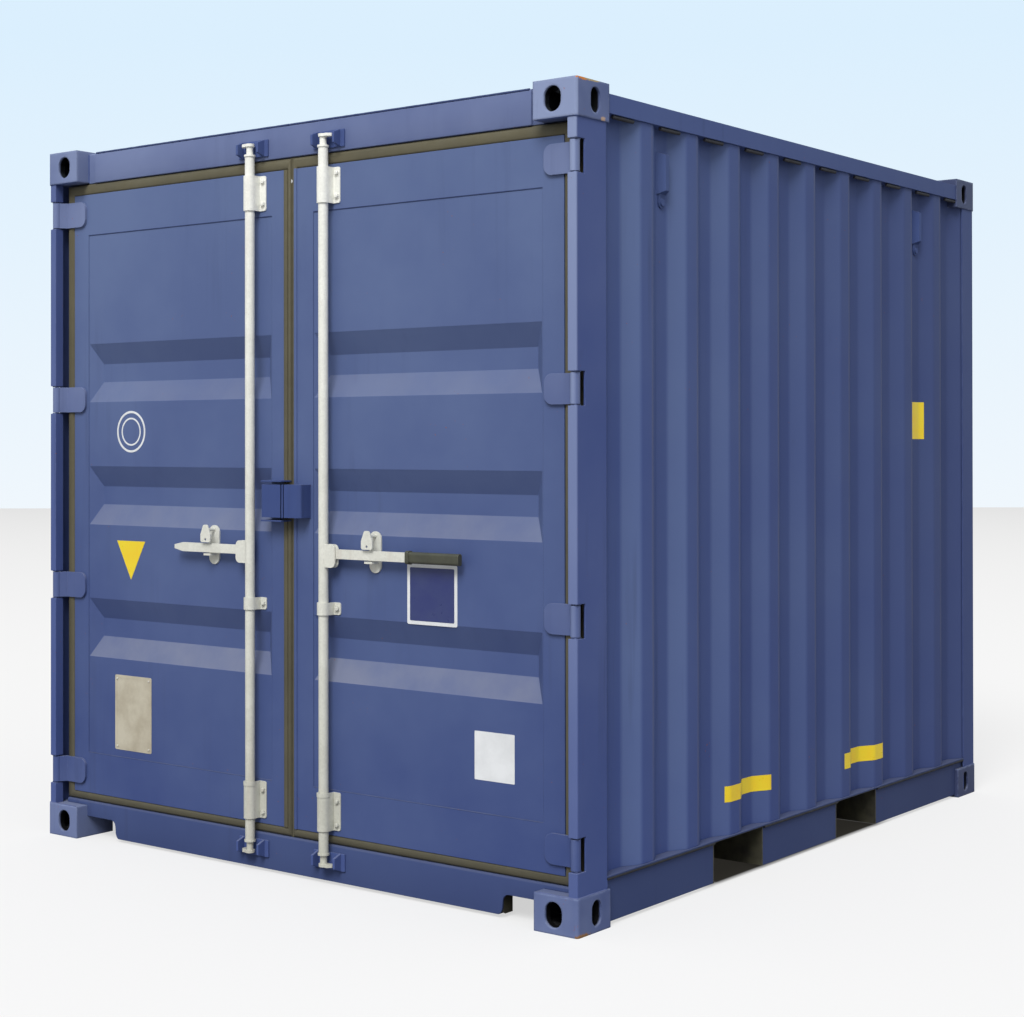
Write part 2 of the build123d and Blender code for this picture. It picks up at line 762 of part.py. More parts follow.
def leaf_frame():
    """Tubular stiles with channel rails between them, open on the inside."""
    back = LEAF_FACE + LEAF_DEPTH
    plate = LEAF_PLATE
    stiles = [
        (LEAF_SIDE_GAP, LEAF_SIDE_GAP + HINGE_STILE),
        (leaf_centre() - CENTRE_STILE, leaf_centre()),
    ]
    frame = None
    for low, high in stiles:
        tube = block(low, high, LEAF_FACE, back, leaf_low(), leaf_top())
        tube = tube - block(
            low + plate, high - plate, LEAF_FACE + plate, back - plate, leaf_low() - OVERRUN, leaf_top() + OVERRUN)
        frame = tube if frame is None else frame + tube
    start = stiles[0][1]
    end = stiles[1][0]
    for low in (leaf_low(), leaf_top() - LEAF_RAIL):
        high = low + LEAF_RAIL
        outline = [
            (LEAF_FACE, low), (back, low), (back, low + plate), (LEAF_FACE + plate, low + plate),
            (LEAF_FACE + plate, high - plate), (back, high - plate), (back, high), (LEAF_FACE, high),
        ]
        frame = frame + across(outline, start, end)
    return frame


def pressing(grow):
    """Tapered recess of the panel, as a solid that is larger by grow."""
    face = LEAF_FACE + PANEL_STEP
    back = face + PRESSING_DEPTH + grow
    start = LEAF_SIDE_GAP + HINGE_STILE + PRESSING_MARGIN - grow
    end = leaf_centre() - CENTRE_STILE - PRESSING_MARGIN + grow
    height = PRESSING_HEIGHT + 2 * grow
    sides = trapezoid((start + end) / 2, end - start, end - start - 2 * PRESSING_END_SLOPE, face, back)
    profile = trapezoid(0, height, height - 2 * PRESSING_SLOPE, face, back)
    upright = prism(sides, -height, height)
    return upright & across([(v, z) for z, v in profile], start, end)


def leaf_panel():
    """Thin panel with three pressed recesses."""
    face = LEAF_FACE + PANEL_STEP
    panel = block(
        LEAF_SIDE_GAP + HINGE_STILE, leaf_centre() - CENTRE_STILE, face, face + PANEL_SHEET,
        leaf_low() + LEAF_RAIL, leaf_top() - LEAF_RAIL,
    )
    middles = [leaf_low() + share * (leaf_top() - leaf_low()) for share in PRESSING_SHARES]
    for middle in middles:
        panel = panel + Pos(0, 0, middle) * pressing(PANEL_SHEET)
    for middle in middles:
        panel = panel - Pos(0, 0, middle) * pressing(0)
    return panel


def seal_ring(width, centre_width, v_low, v_high):
    """Flat ring round the leaf."""
    outer = block(
        LEAF_SIDE_GAP - width, leaf_centre() + centre_width, v_low, v_high,
        leaf_low() - width, leaf_top() + width,
    )
    inner = block(
        LEAF_SIDE_GAP, leaf_centre(), v_low - OVERRUN, v_high + OVERRUN, leaf_low(), leaf_top())
    return outer - inner


def leaf_gasket():
    """Rubber seal with a body and two lips, in a ring round the leaf."""
    front = LEAF_FACE + PANEL_STEP
    back = front + SEAL_DEPTH
    ring = seal_ring(SEAL_BODY, SEAL_BODY, front, back)
    for level in (front, back - SEAL_LIP):
        ring = ring + seal_ring(SEAL_WIDTH, SEAL_CENTRE_WIDTH, level, level + SEAL_LIP)
    return ring


# Hinges

def hinge_lug(middle):
    """Upper and lower lug on the post, joined by their pin."""
    inner = FRAME_INSET + POST_PLATE
    outer = FRAME_INSET + POST_LIP_WIDTH - POST_PLATE
    near = middle + HINGE_HEIGHT / 2 + LUG_GAP
    lug = block(inner, outer, inner, inner + LUG_LENGTH, near, near + LUG_THICKNESS)
    lower = Pos(0, 0, 2 * middle - 2 * near - LUG_THICKNESS) * lug
    reach = HINGE_HEIGHT / 2 + LUG_GAP + LUG_THICKNESS
    return lug + lower + rod(PIN_SETBACK, PIN_SETBACK, PIN_RADIUS, middle - reach, middle + reach)


def hinge_lugs():
    """All lugs and pins on one post."""
    return [hinge_lug(middle) for middle in hinge_middles()]


def hinge_blade(middle):
    """Knuckle with an arm and a round-ended blade that is welded to the leaf."""
    half = HINGE_HEIGHT / 2
    knuckle = rod(PIN_SETBACK, PIN_SETBACK, KNUCKLE_RADIUS, middle - half, middle + half)
    front = LEAF_FACE - BLADE_PLATE
    arm = prism(
        [
            (PIN_SETBACK, PIN_SETBACK + KNUCKLE_RADIUS), (PIN_SETBACK, PIN_SETBACK),
            (PIN_SETBACK + KNUCKLE_RADIUS, PIN_SETBACK), (BLADE_START + BLADE_PLATE, front),
            (BLADE_START + BLADE_PLATE, LEAF_FACE), (BLADE_START, LEAF_FACE),
        ],
        middle - half, middle + half,
    )
    blade = block(BLADE_START + BLADE_PLATE, BLADE_END, front, LEAF_FACE, middle - half, middle + half)
    ends = blade.edges().filter_by(Axis.X).group_by(Axis.Y)[-1]
    blade = fillet(ends, BLADE_ROUND)
    bore = rod(
        PIN_SETBACK, PIN_SETBACK, PIN_RADIUS + PIN_CLEARANCE, middle - half - OVERRUN, middle + half + OVERRUN)
    return knuckle + arm + blade - bore


def hinge_blades():
    """All hinge blades of one leaf."""
    return [hinge_blade(middle) for middle in hinge_middles()]


# Lock bars

def bar_place():
    """Local u of a lock bar's axis."""
    return WIDTH / 2 - BAR_OFFSET


def bar_low():
    """Height of the lower end of a lock bar."""
    return SILL_TOP - BAR_LOW_REACH


def bar_top():
    """Height of the upper end of a lock bar."""
    return header_underside() + BAR_TOP_REACH


def handle_level():
    """Height of the handles."""
    return leaf_low() + HANDLE_LEVEL_SHARE * (leaf_top() - leaf_low())


def cam_end(z_end, inward):
    """Hooked cam plate, neck and anti-rack collar at one end of the bar."""
    u = bar_place()
    v = BAR_SETBACK
    outline = [
        (u, v - CAM_HALF), (u - CAM_REACH + CAM_HALF, v - CAM_HALF), (u - CAM_REACH, v),
        (u - CAM_REACH, v + CAM_NOSE), (u - CAM_REACH + CAM_HALF, v + CAM_NOSE),
        (u - CAM_REACH + CAM_HALF, v + CAM_HALF), (u, v + CAM_HALF),
    ]
    plate_end = z_end + inward * CAM_PLATE
    neck_end = plate_end + inward * NECK_LENGTH
    collar_end = neck_end + inward * COLLAR_PLATE
    plate = prism(outline, min(z_end, plate_end), max(z_end, plate_end))
    plate = plate + rod(u, v, BAR_RADIUS, min(z_end, plate_end), max(z_end, plate_end))
    neck = rod(u, v, NECK_RADIUS, min(z_end, neck_end), max(z_end, neck_end))
    collar = rod(u, v, COLLAR_RADIUS, min(neck_end, collar_end), max(neck_end, collar_end))
    return plate + neck + collar


def hub():
    """Two round-cornered cheeks on the bar with the handle's pivot pin between them."""
    u = bar_place()
    half_gap = HANDLE_PLATE / 2 + HANDLE_SIDE_GAP
    low = handle_level() - HUB_DROP
    cheeks = None
    for side in (-1, 1):
        near = BAR_SETBACK + side * half_gap
        far = near + side * HUB_PLATE
        cheek = block(
            u - HUB_REACH, u - BAR_RADIUS + BAR_WALL, min(near, far), max(near, far), low, low + HUB_HEIGHT,
        )
        corners = cheek.edges().filter_by(Axis.X).group_by(Axis.Y)[0]
        cheek = fillet(corners, HUB_ROUND)
        cheeks = cheek if cheeks is None else cheeks + cheek
    x, y = place(u - HANDLE_PIVOT, BAR_SETBACK)
    pin = Pos(x, y, handle_level()) * Rot(0, 90, 0) * Cylinder(HANDLE_PIVOT_RADIUS, 2 * (half_gap + HUB_PLATE))
    return cheeks + pin


def lock_bar():
    """Tube with a cam at each end and the hub of its handle."""
    u = bar_place()
    end_length = CAM_PLATE + NECK_LENGTH
    low = bar_low() + end_length
    high = bar_top() - end_length
    tube = rod(u, BAR_SETBACK, BAR_RADIUS, low, high) + hub()
    tube = tube - rod(u, BAR_SETBACK, BAR_RADIUS - BAR_WALL, low + COLLAR_PLATE, high - COLLAR_PLATE)
    return tube + cam_end(bar_low(), 1) + cam_end(bar_top(), -1)


def cam_keeper(z_middle):
    """Flanged base plate with two tapered cheeks round a cam, open to the front."""
    u = bar_place()
    low = z_middle - KEEPER_HEIGHT / 2
    high = z_middle + KEEPER_HEIGHT / 2
    near = u + COLLAR_RADIUS + KEEPER_BACK_GAP
    far = u - CAM_REACH - KEEPER_CLEARANCE
    front = SILL_FACE - KEEPER_PLATE
    margin = KEEPER_CHEEK + KEEPER_FLANGE
    keeper = block(far - margin, near + margin, front, SILL_FACE, low, high)
    tip = front - KEEPER_LENGTH
    side_view = [
        (front, low), (front, high), (tip, high - KEEPER_TAPER), (tip, low + KEEPER_TAPER),
    ]
    for start in (far - KEEPER_CHEEK, near):
        keeper = keeper + across(side_view, start, start + KEEPER_CHEEK)
    return keeper


def cam_keepers():
    """Keepers on the sill and on the header."""
    middle = CAM_PLATE + KEEPER_SHIFT
    low = cam_keeper(bar_low() + middle)
    high = cam_keeper(bar_top() - middle)
    return both(low) + both(high)


def bar_guide(z_low, height, face, ringed):
    """Omega-shaped clamp round the bar with a flat foot on each side."""
    u = bar_place()
    z_high = z_low + height
    outer = BAR_RADIUS + BAR_FIT + GUIDE_WALL
    inner = BAR_RADIUS + BAR_FIT
    foot = block(u - GUIDE_HALF_WIDTH, u + GUIDE_HALF_WIDTH, face - GUIDE_PLATE, face, z_low, z_high)
    foot = fillet(foot.edges().filter_by(Axis.X), GUIDE_ROUND)
    guide = foot + rod(u, BAR_SETBACK, outer, z_low, z_high)
    guide = guide + block(u - outer, u + outer, BAR_SETBACK, face, z_low, z_high)
    if ringed:
        guide = guide + rod(u, BAR_SETBACK, outer + GUIDE_RING, z_high - GUIDE_RING_HEIGHT, z_high)
    throat = block(u - inner, u + inner, BAR_SETBACK, face + OVERRUN, z_low - OVERRUN, z_high + OVERRUN)
    return guide - throat - rod(u, BAR_SETBACK, inner, z_low - OVERRUN, z_high + OVERRUN)


def bar_guides():
    """Lower, middle and upper guide of one lock bar."""
    panel = LEAF_FACE + PANEL_STEP
    top_low = leaf_top() - TOP_GUIDE_DROP - TOP_GUIDE_HEIGHT
    return [
        bar_guide(leaf_low() + LOW_GUIDE_RISE, LOW_GUIDE_HEIGHT, LEAF_FACE, True),
        bar_guide(handle_level() - MIDDLE_GUIDE_DROP, MIDDLE_GUIDE_HEIGHT, panel, False),
        bar_guide(top_low, TOP_GUIDE_HEIGHT, LEAF_FACE, False),
    ]


# Handles, rests and hasps

def handle(reach):
    """Flat lever that starts at the hub's pivot pin."""
    u = bar_place()
    half = HANDLE_HEIGHT / 2
    front = BAR_SETBACK - HANDLE_PLATE / 2
    lever = block(
        u - reach, u - HANDLE_ROOT, front, front + HANDLE_PLATE, handle_level() - half, handle_level() + half)
    x, y = place(u - HANDLE_PIVOT, BAR_SETBACK)
    bore = Pos(x, y, handle_level()) * Rot(0, 90, 0) * Cylinder(
        HANDLE_PIVOT_RADIUS + PIN_CLEARANCE, HANDLE_PLATE + OVERRUN)
    return lever - bore


def tapered_handle(reach):
    """Lever with its tip cut to a taper."""
    u = bar_place()
    level = handle_level()
    half = HANDLE_HEIGHT / 2
    end = u - reach
    lever = handle(reach)
    for side in (-1, 1):
        wedge = [
            (end + HANDLE_TIP_LENGTH, level + side * half), (end, level + side * (half - HANDLE_TIP_DROP)),
            (end - OVERRUN, level + side * (half - HANDLE_TIP_DROP)), (end - OVERRUN, level + side * (half + OVERRUN)),
            (end + HANDLE_TIP_LENGTH, level + side * (half + OVERRUN)),
        ]
        lever = lever - along(wedge, 0, 2 * BAR_SETBACK)
    return lever


def grip():
    """Rounded grip with a raised end collar on the right-hand handle."""
    u = bar_place()
    half = GRIP_HEIGHT / 2
    front = BAR_SETBACK - GRIP_THICKNESS / 2
    start = u - RIGHT_HANDLE_REACH
    body = block(
        u - GRIP_REACH, start, front, front + GRIP_THICKNESS, handle_level() - half, handle_level() + half,
    )
    body = fillet(body.edges().filter_by(Axis.Y), GRIP_ROUND)
    rise = GRIP_COLLAR_RISE
    collar = block(
        start - GRIP_COLLAR, start, front - rise, front + GRIP_THICKNESS + rise,
        handle_level() - half - rise, handle_level() + half + rise,
    )
    return body + fillet(collar.edges().filter_by(Axis.Y), GRIP_ROUND)


def rest_middle():
    """Local u of the middle of the handle rest."""
    return bar_place() - REST_NEAR - REST_WIDTH / 2


def hasp_back():
    """Local v of the back of the hasp, in front of the handle."""
    return BAR_SETBACK - HANDLE_PLATE / 2 - HASP_GAP


def hasp_pivot_height():
    """Height of the hasp's rivet."""
    return handle_level() + HASP_RISE + HASP_HEIGHT - HASP_PIVOT_DROP


def handle_rest():
    """Oval plate behind the handle with a hook under it and a rivet for the hasp."""
    face = LEAF_FACE + PANEL_STEP
    front = face - REST_PLATE
    middle = rest_middle()
    low = handle_level() - REST_DROP
    x, y = place(middle, front)
    oval = Plane(origin=(x, y, low + REST_HEIGHT / 2), x_dir=(0, 1, 0), z_dir=(1, 0, 0))
    plate = oval * extrude(SlotOverall(REST_HEIGHT, REST_WIDTH, rotation=90), amount=REST_PLATE)
    hook_top = handle_level() - HANDLE_HEIGHT / 2 - REST_HOOK_GAP
    half = REST_HOOK_WIDTH / 2
    hook = block(middle - half, middle + half, front - REST_HOOK_REACH, front, hook_top - REST_HOOK, hook_top)
    x, y = place(middle, (front + hasp_back() - HASP_PLATE) / 2)
    length = front - hasp_back() + HASP_PLATE
    rivet = Pos(x, y, hasp_pivot_height()) * Rot(0, 90, 0) * Cylinder(RIVET_RADIUS, length)
    return plate + hook + rivet


def hasp():
    """Crowned plate that turns on the rest's rivet and hangs over the handle's top edge."""
    back = hasp_back()
    middle = rest_middle()
    half = HASP_WIDTH / 2
    low = handle_level() + HASP_RISE
    high = low + HASP_HEIGHT
    crown = HASP_CROWN / 2
    outline = [
        (middle - half, low), (middle + half, low), (middle + half, high - HASP_CROWN_DROP),
        (middle + crown, high), (middle - crown, high), (middle - half, high - HASP_CROWN_DROP),
    ]
    plate = along(outline, back - HASP_PLATE, back)
    plate = fillet(plate.edges().filter_by(Axis.X), HASP_CORNER)
    for height, radius in (
        (hasp_pivot_height(), RIVET_RADIUS + PIN_CLEARANCE), (low + SEAL_HOLE_RISE, SEAL_HOLE_RADIUS),
    ):
        x, y = place(middle, back - HASP_PLATE / 2)
        plate = plate - Pos(x, y, height) * Rot(0, 90, 0) * Cylinder(radius, HASP_PLATE + OVERRUN)
    return plate


# Lock box

def lock_box_span():
    """Lower and upper height of the lock box."""
    low = handle_level() + LOCK_BOX_RISE
    return low, low + LOCK_BOX_HEIGHT


def lock_box_half(width):
    """Half of the cover: front, top and outer cheek, open below and at the seam."""
    start = WIDTH / 2 - width
    end = WIDTH / 2 - LOCK_BOX_SEAM
    plate = LOCK_BOX_PLATE
    low, high = lock_box_span()
    body = block(start, end, LOCK_BOX_FRONT, LEAF_FACE, low, high)
    corner = body.edges().filter_by(Axis.Z).sort_by_distance(Vector(*place(start, LOCK_BOX_FRONT), low))[0]
    body = fillet(corner, LOCK_BOX_ROUND)
    hollow = block(
        start + plate, end + OVERRUN, LOCK_BOX_FRONT + plate, LEAF_FACE + OVERRUN, low - OVERRUN, high - plate,
    )
    return body - hollow


def ledges(width):
    """Two ledges above and below the left-hand half."""
    start = WIDTH / 2 - width
    end = WIDTH / 2 - LOCK_BOX_SEAM
    shelves = []
    box_low, box_high = lock_box_span()
    for low in (box_low - LEDGE_RISE - LEDGE_PLATE, box_high + LEDGE_RISE):
        shelves.append(block(start, end, LOCK_BOX_FRONT, LEAF_FACE, low, low + LEDGE_PLATE))
    return shelves


# Export

def as_compound(shapes):
    """One shape from a solid or a list of solids."""
    if not isinstance(shapes, list):
        shapes = [shapes]
    solids = []
    for shape in shapes:
        solids.extend(shape.solids())
    return Compound(solids) if len(solids) > 1 else solids[0]


def left_all(shapes):
    """Mirror images of a list of shapes."""
    return [left(shape) for shape in shapes]


def all_nodes():
    """Every named piece of the container."""
    nodes = {
        "bottom_corner_fittings": bottom_fittings(),
        "top_corner_fittings": top_fittings(),
        "door_post_right": door_post(),
        "door_post_left": left(door_post()),
        "rear_post_right": rear_post(),
        "rear_post_left": left(rear_post()),
        "door_header": door_header(),
        "door_sill": door_sill(),
        "rear_top_rail": rear_top_rail(),
        "rear_bottom_rail": rear_bottom_rail(),
        "top_side_rail_right": top_side_rail(),
        "top_side_rail_left": left(top_side_rail()),
        "bottom_side_rail_right": bottom_side_rail(),
        "bottom_side_rail_left": left(bottom_side_rail()),
        "side_wall_right": side_wall(),
        "side_wall_left": left(side_wall()),
        "end_wall": end_wall(),
        "roof_panel": roof_panel(),
        "roof_end_plate": roof_end_plate(),
        "roof_corner_plates": roof_corner_plates(),
        "cross_members": cross_members(),
        "fork_pockets": fork_pockets(),
        "plywood_floor": plywood_floor(),
        "side_vents": side_vents(),
        "hinge_lugs_right": hinge_lugs(),
        "hinge_lugs_left": left_all(hinge_lugs()),
        "cam_keepers": cam_keepers(),
        "door_frame_right": leaf_frame(),
        "door_panel_right": leaf_panel(),
        "door_gasket_right": leaf_gasket(),
        "hinge_blades_right": hinge_blades(),
        "bar_guides_right": bar_guides(),
        "handle_rest_right": handle_rest(),
        "lock_box_right": lock_box_half(LOCK_BOX_RIGHT),
        "lock_bar_right": lock_bar(),
        "handle_right": handle(RIGHT_HANDLE_REACH),
        "grip_right": grip(),
        "hasp_right": hasp(),
        "door_frame_left": left(leaf_frame()),
        "door_panel_left": left(leaf_panel()),
        "door_gasket_left": left(leaf_gasket()),
        "hinge_blades_left": left_all(hinge_blades()),
        "bar_guides_left": left_all(bar_guides()),
        "handle_rest_left": left(handle_rest()),
        "lock_box_left": left_all([lock_box_half(LOCK_BOX_LEFT)] + ledges(LOCK_BOX_LEFT)),
        "lock_bar_left": left(lock_bar()),
        "handle_left": left(tapered_handle(LEFT_HANDLE_REACH)),
        "hasp_left": left(hasp()),
    }
    return nodes


os.makedirs("parts", exist_ok=True)
for name, shapes in all_nodes().items():
    export_step(as_compound(shapes), f"parts/{name}.step")
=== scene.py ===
"""Looks of a ten foot steel box container: weathered paint, zinc, rubber and boards over its packed solids.

Lengths are in metres. The door end faces -X, the right-hand side wall faces -Y and the floor is z = 0.
"""

import math
from contextlib import contextmanager

import bmesh
import bpy
from bpy.props import FloatProperty, FloatVectorProperty, IntProperty, PointerProperty
from mathutils import Matrix, Vector
from mathutils.bvhtree import BVHTree


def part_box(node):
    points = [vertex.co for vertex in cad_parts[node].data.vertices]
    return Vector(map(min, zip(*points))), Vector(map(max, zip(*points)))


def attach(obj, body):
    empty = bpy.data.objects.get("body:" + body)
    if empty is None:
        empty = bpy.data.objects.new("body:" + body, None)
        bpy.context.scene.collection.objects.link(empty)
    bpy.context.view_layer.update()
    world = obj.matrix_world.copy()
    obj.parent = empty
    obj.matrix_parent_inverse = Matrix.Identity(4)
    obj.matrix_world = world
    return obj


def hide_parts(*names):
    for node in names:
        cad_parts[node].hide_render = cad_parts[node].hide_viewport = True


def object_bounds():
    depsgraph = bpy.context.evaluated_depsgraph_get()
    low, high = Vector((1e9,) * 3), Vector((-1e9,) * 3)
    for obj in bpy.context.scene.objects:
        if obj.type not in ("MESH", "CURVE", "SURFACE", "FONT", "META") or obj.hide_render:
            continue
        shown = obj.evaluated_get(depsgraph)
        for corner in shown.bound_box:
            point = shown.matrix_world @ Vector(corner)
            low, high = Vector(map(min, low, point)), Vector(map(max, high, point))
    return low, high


bl_info = {
    "name": "Ten foot box container",
    "version": (1, 0, 0),
    "blender": (4, 5, 0),
    "location": "3D View > Sidebar > Container",
    "description": "Paint, welds, seals, plates and fixings of a small steel box container",
    "category": "Object",
}

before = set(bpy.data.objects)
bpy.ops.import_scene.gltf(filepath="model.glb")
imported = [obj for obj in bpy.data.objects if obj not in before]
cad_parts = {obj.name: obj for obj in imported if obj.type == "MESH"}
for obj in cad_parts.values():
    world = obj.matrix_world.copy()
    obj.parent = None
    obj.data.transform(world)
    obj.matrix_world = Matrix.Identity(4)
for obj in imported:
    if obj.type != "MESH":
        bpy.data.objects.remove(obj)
SOLIDS_LOW, SOLIDS_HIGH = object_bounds()
DOOR_END = SOLIDS_LOW.x

# The sign of Y on each side.
SIDES = {"right": -1, "left": 1}
FLOAT, COLOUR, VECTOR = "NodeSocketFloat", "NodeSocketColor", "NodeSocketVector"
INT, GEOMETRY, MATERIAL = "NodeSocketInt", "NodeSocketGeometry", "NodeSocketMaterial"
FACING_DOORS = (0.0, -math.pi / 2, 0.0)
FACING_UP = (0.0, 0.0, 0.0)
FULL_TURN = 6.283

HEADER_LOW, HEADER_TOP = 2.470, 2.583
HEADER_ROUNDS = ((HEADER_TOP, 0, 0.007), (HEADER_LOW, 1, 0.0015))
HEADER_END_SETBACK = 0.008
SILL_TOP = 0.135
SILL_PLATE = 0.006
SILL_FOOT = 0.058
NOTCH_TOP = 0.078
SEAL_FOOT = 0.137
FITTING_HEIGHT = 0.118
PANEL_FACE = DOOR_END + 0.058
BAR_OFFSET = 0.172
GUIDE_BOLT_X = DOOR_END + 0.052
MIDDLE_GUIDE_BOLT = (0.930, DOOR_END + 0.054)
GUIDE_BOLT_REACH = 0.037
FLAT_WASHER = (1.0, 0.0002)

# Finishes of single parts, where the slot's own finish is not the one that shows.
SPECIAL_COATS = {
    "side_wall": "wall_blue", "door_frame": "door_blue", "door_panel": "door_blue", "door_header": "header_blue",
    "door_sill": "rail_blue", "bottom_side_rail": "rail_blue", "rear_bottom_rail": "rail_blue",
    # Fork pockets and cross members take the dark underseal, partly their coat and partly painted shade.
    "door_post": "post_blue", "hinge_blades": "hinge_blue", "hinge_lugs": "hinge_blue", "fork_pockets": "underseal",
    "cross_members": "underseal"}
FINISH = {}


def srgb(red, green, blue):
    """A colour read from a picture, 0 to 255, as the linear values that a shader wants."""
    shares = [part / 255 for part in (red, green, blue)]
    return tuple(s / 12.92 if s <= 0.04045 else ((s + 0.055) / 1.055) ** 2.4 for s in shares)


# Middle, reach and colour of the bare spots on the castings, and the span and colour of the painted shade
# inside the castings' holes.
CASTING_SPOTS = (((-1.460, -1.217, 2.590), (0.036, 0.014, 0.007), srgb(206, 124, 48)),
                 ((-1.415, -1.217, 2.590), (0.050, 0.012, 0.005), srgb(170, 150, 110)),
                 ((-1.470, -1.217, 0.000), (0.045, 0.014, 0.012), srgb(140, 104, 70)),
                 ((-1.352, -1.217, 2.478), (0.015, 0.020, 0.009), srgb(180, 152, 132)))
CASTING_HOLLOW = ((1.3215, 1.0612, 0.0045), (1.4910, 1.2145, 0.1135), srgb(13, 13, 15))


def settings():
    """The scene's own settings."""
    return bpy.context.scene.container


class Graph:
    """One node tree, with short ways to add the nodes that the looks are made of."""

    def __init__(self, tree):
        self.tree = tree

    def feed(self, node, wires):
        """Gives a node's inputs their values, or links them to outputs."""
        for name, value in wires.items():
            socket = node.inputs[name]
            if isinstance(value, bpy.types.NodeSocket):
                self.tree.links.new(value, socket)
            else:
                socket.default_value = (*value[:3], 1.0) if socket.type == "RGBA" else value

    def add(self, kind, wires=None, **traits):
        """A new node, with its own traits and with values or outputs for its inputs."""
        node = self.tree.nodes.new(kind)
        for name, value in traits.items():
            setattr(node, name, value)
        self.feed(node, wires or {})
        return node

    def sockets(self, inputs, outputs):
        """Names a group's sockets. An input has a socket type, or a float or a colour as its default."""
        for label, given in inputs.items():
            kind = given if isinstance(given, str) else COLOUR if isinstance(given, tuple) else FLOAT
            socket = self.tree.interface.new_socket(name=label, in_out="INPUT", socket_type=kind)
            if kind != given:
                socket.default_value = given
        for label, kind in outputs.items():
            self.tree.interface.new_socket(name=label, in_out="OUTPUT", socket_type=kind)
        return self.tree.nodes.new("NodeGroupInput").outputs, self.tree.nodes.new("NodeGroupOutput")

    def math(self, operation, first, second=0.0, clamp=False):
        """The output of one Math node."""
        return self.add("ShaderNodeMath", {0: first, 1: second}, operation=operation, use_clamp=clamp).outputs[0]

    def times(self, first, second, clamp=False):
        """The product of two values."""
        return self.math("MULTIPLY", first, second, clamp)

    def plus(self, first, second, clamp=False):
        """The sum of two values."""
        return self.math("ADD", first, second, clamp)

    def minus(self, first, second, clamp=False):
        """The difference of two values."""
        return self.math("SUBTRACT", first, second, clamp)

    def vectors(self, operation, first, second=(0.0, 0.0, 0.0)):
        """The outputs of one Vector Math node."""
        return self.add("ShaderNodeVectorMath", {0: first, 1: second}, operation=operation).outputs

    def split(self, vector):
        """The three parts of a vector."""
        return self.add("ShaderNodeSeparateXYZ", {0: vector}).outputs

    def upright(self, height):
        """A vector along Z."""
        return self.add("ShaderNodeCombineXYZ", {2: height}).outputs[0]

    def place(self):
        """The surface's place in the container's own coordinates."""
        return self.add("ShaderNodeTexCoord").outputs["Object"]

    def stretched(self, place, size):
        """Coordinates scaled by a different amount along each axis."""
        return self.add("ShaderNodeMapping", {"Vector": place, "Scale": size}).outputs[0]

    def noise(self, place, scale, detail=3.0, roughness=0.55):
        """The value of a noise texture."""
        wires = {"Vector": place, "Scale": scale, "Detail": detail, "Roughness": roughness}
        return self.add("ShaderNodeTexNoise", wires).outputs[0]

    def remap(self, value, low, high, to_low=0.0, to_high=1.0):
        """A value's place between low and high, spread from to_low to to_high and held there outside."""
        wires = {"Value": value, "From Min": low, "From Max": high, "To Min": to_low, "To Max": to_high}
        return self.add("ShaderNodeMapRange", wires, clamp=True).outputs[0]

    def blend(self, factor, below, above, kind="MIX"):
        """One colour laid over another by a factor."""
        wires = {0: factor, 6: below, 7: above}
        return self.add("ShaderNodeMix", wires, data_type="RGBA", blend_type=kind).outputs[2]

    def lifted(self, shape, height):
        """A shape raised along Z."""
        return self.add("GeometryNodeTransform", {"Geometry": shape, "Translation": self.upright(height)}).outputs[0]

    def joined(self, *parts):
        """Several shapes as one."""
        node = self.add("GeometryNodeJoinGeometry")
        for part in parts:
            self.feed(node, {0: part})
        return node.outputs[0]


def shader_group(name, inputs, outputs):
    """Turns a function of (graph, inputs), which returns the outputs' wires, into one that places its shared group.

    The group is built the first time it is placed.
    """
    def prepare(build):
        built = []

        def placed(graph, values):
            if not built:
                inner = Graph(bpy.data.node_groups.new(name, "ShaderNodeTree"))
                given, sink = inner.sockets(inputs, outputs)
                inner.feed(sink, dict(zip(outputs, build(inner, given))))
                built.append(inner.tree)
            return graph.add("ShaderNodeGroup", values, node_tree=built[0]).outputs

        placed.__doc__ = build.__doc__
        return placed

    return prepare


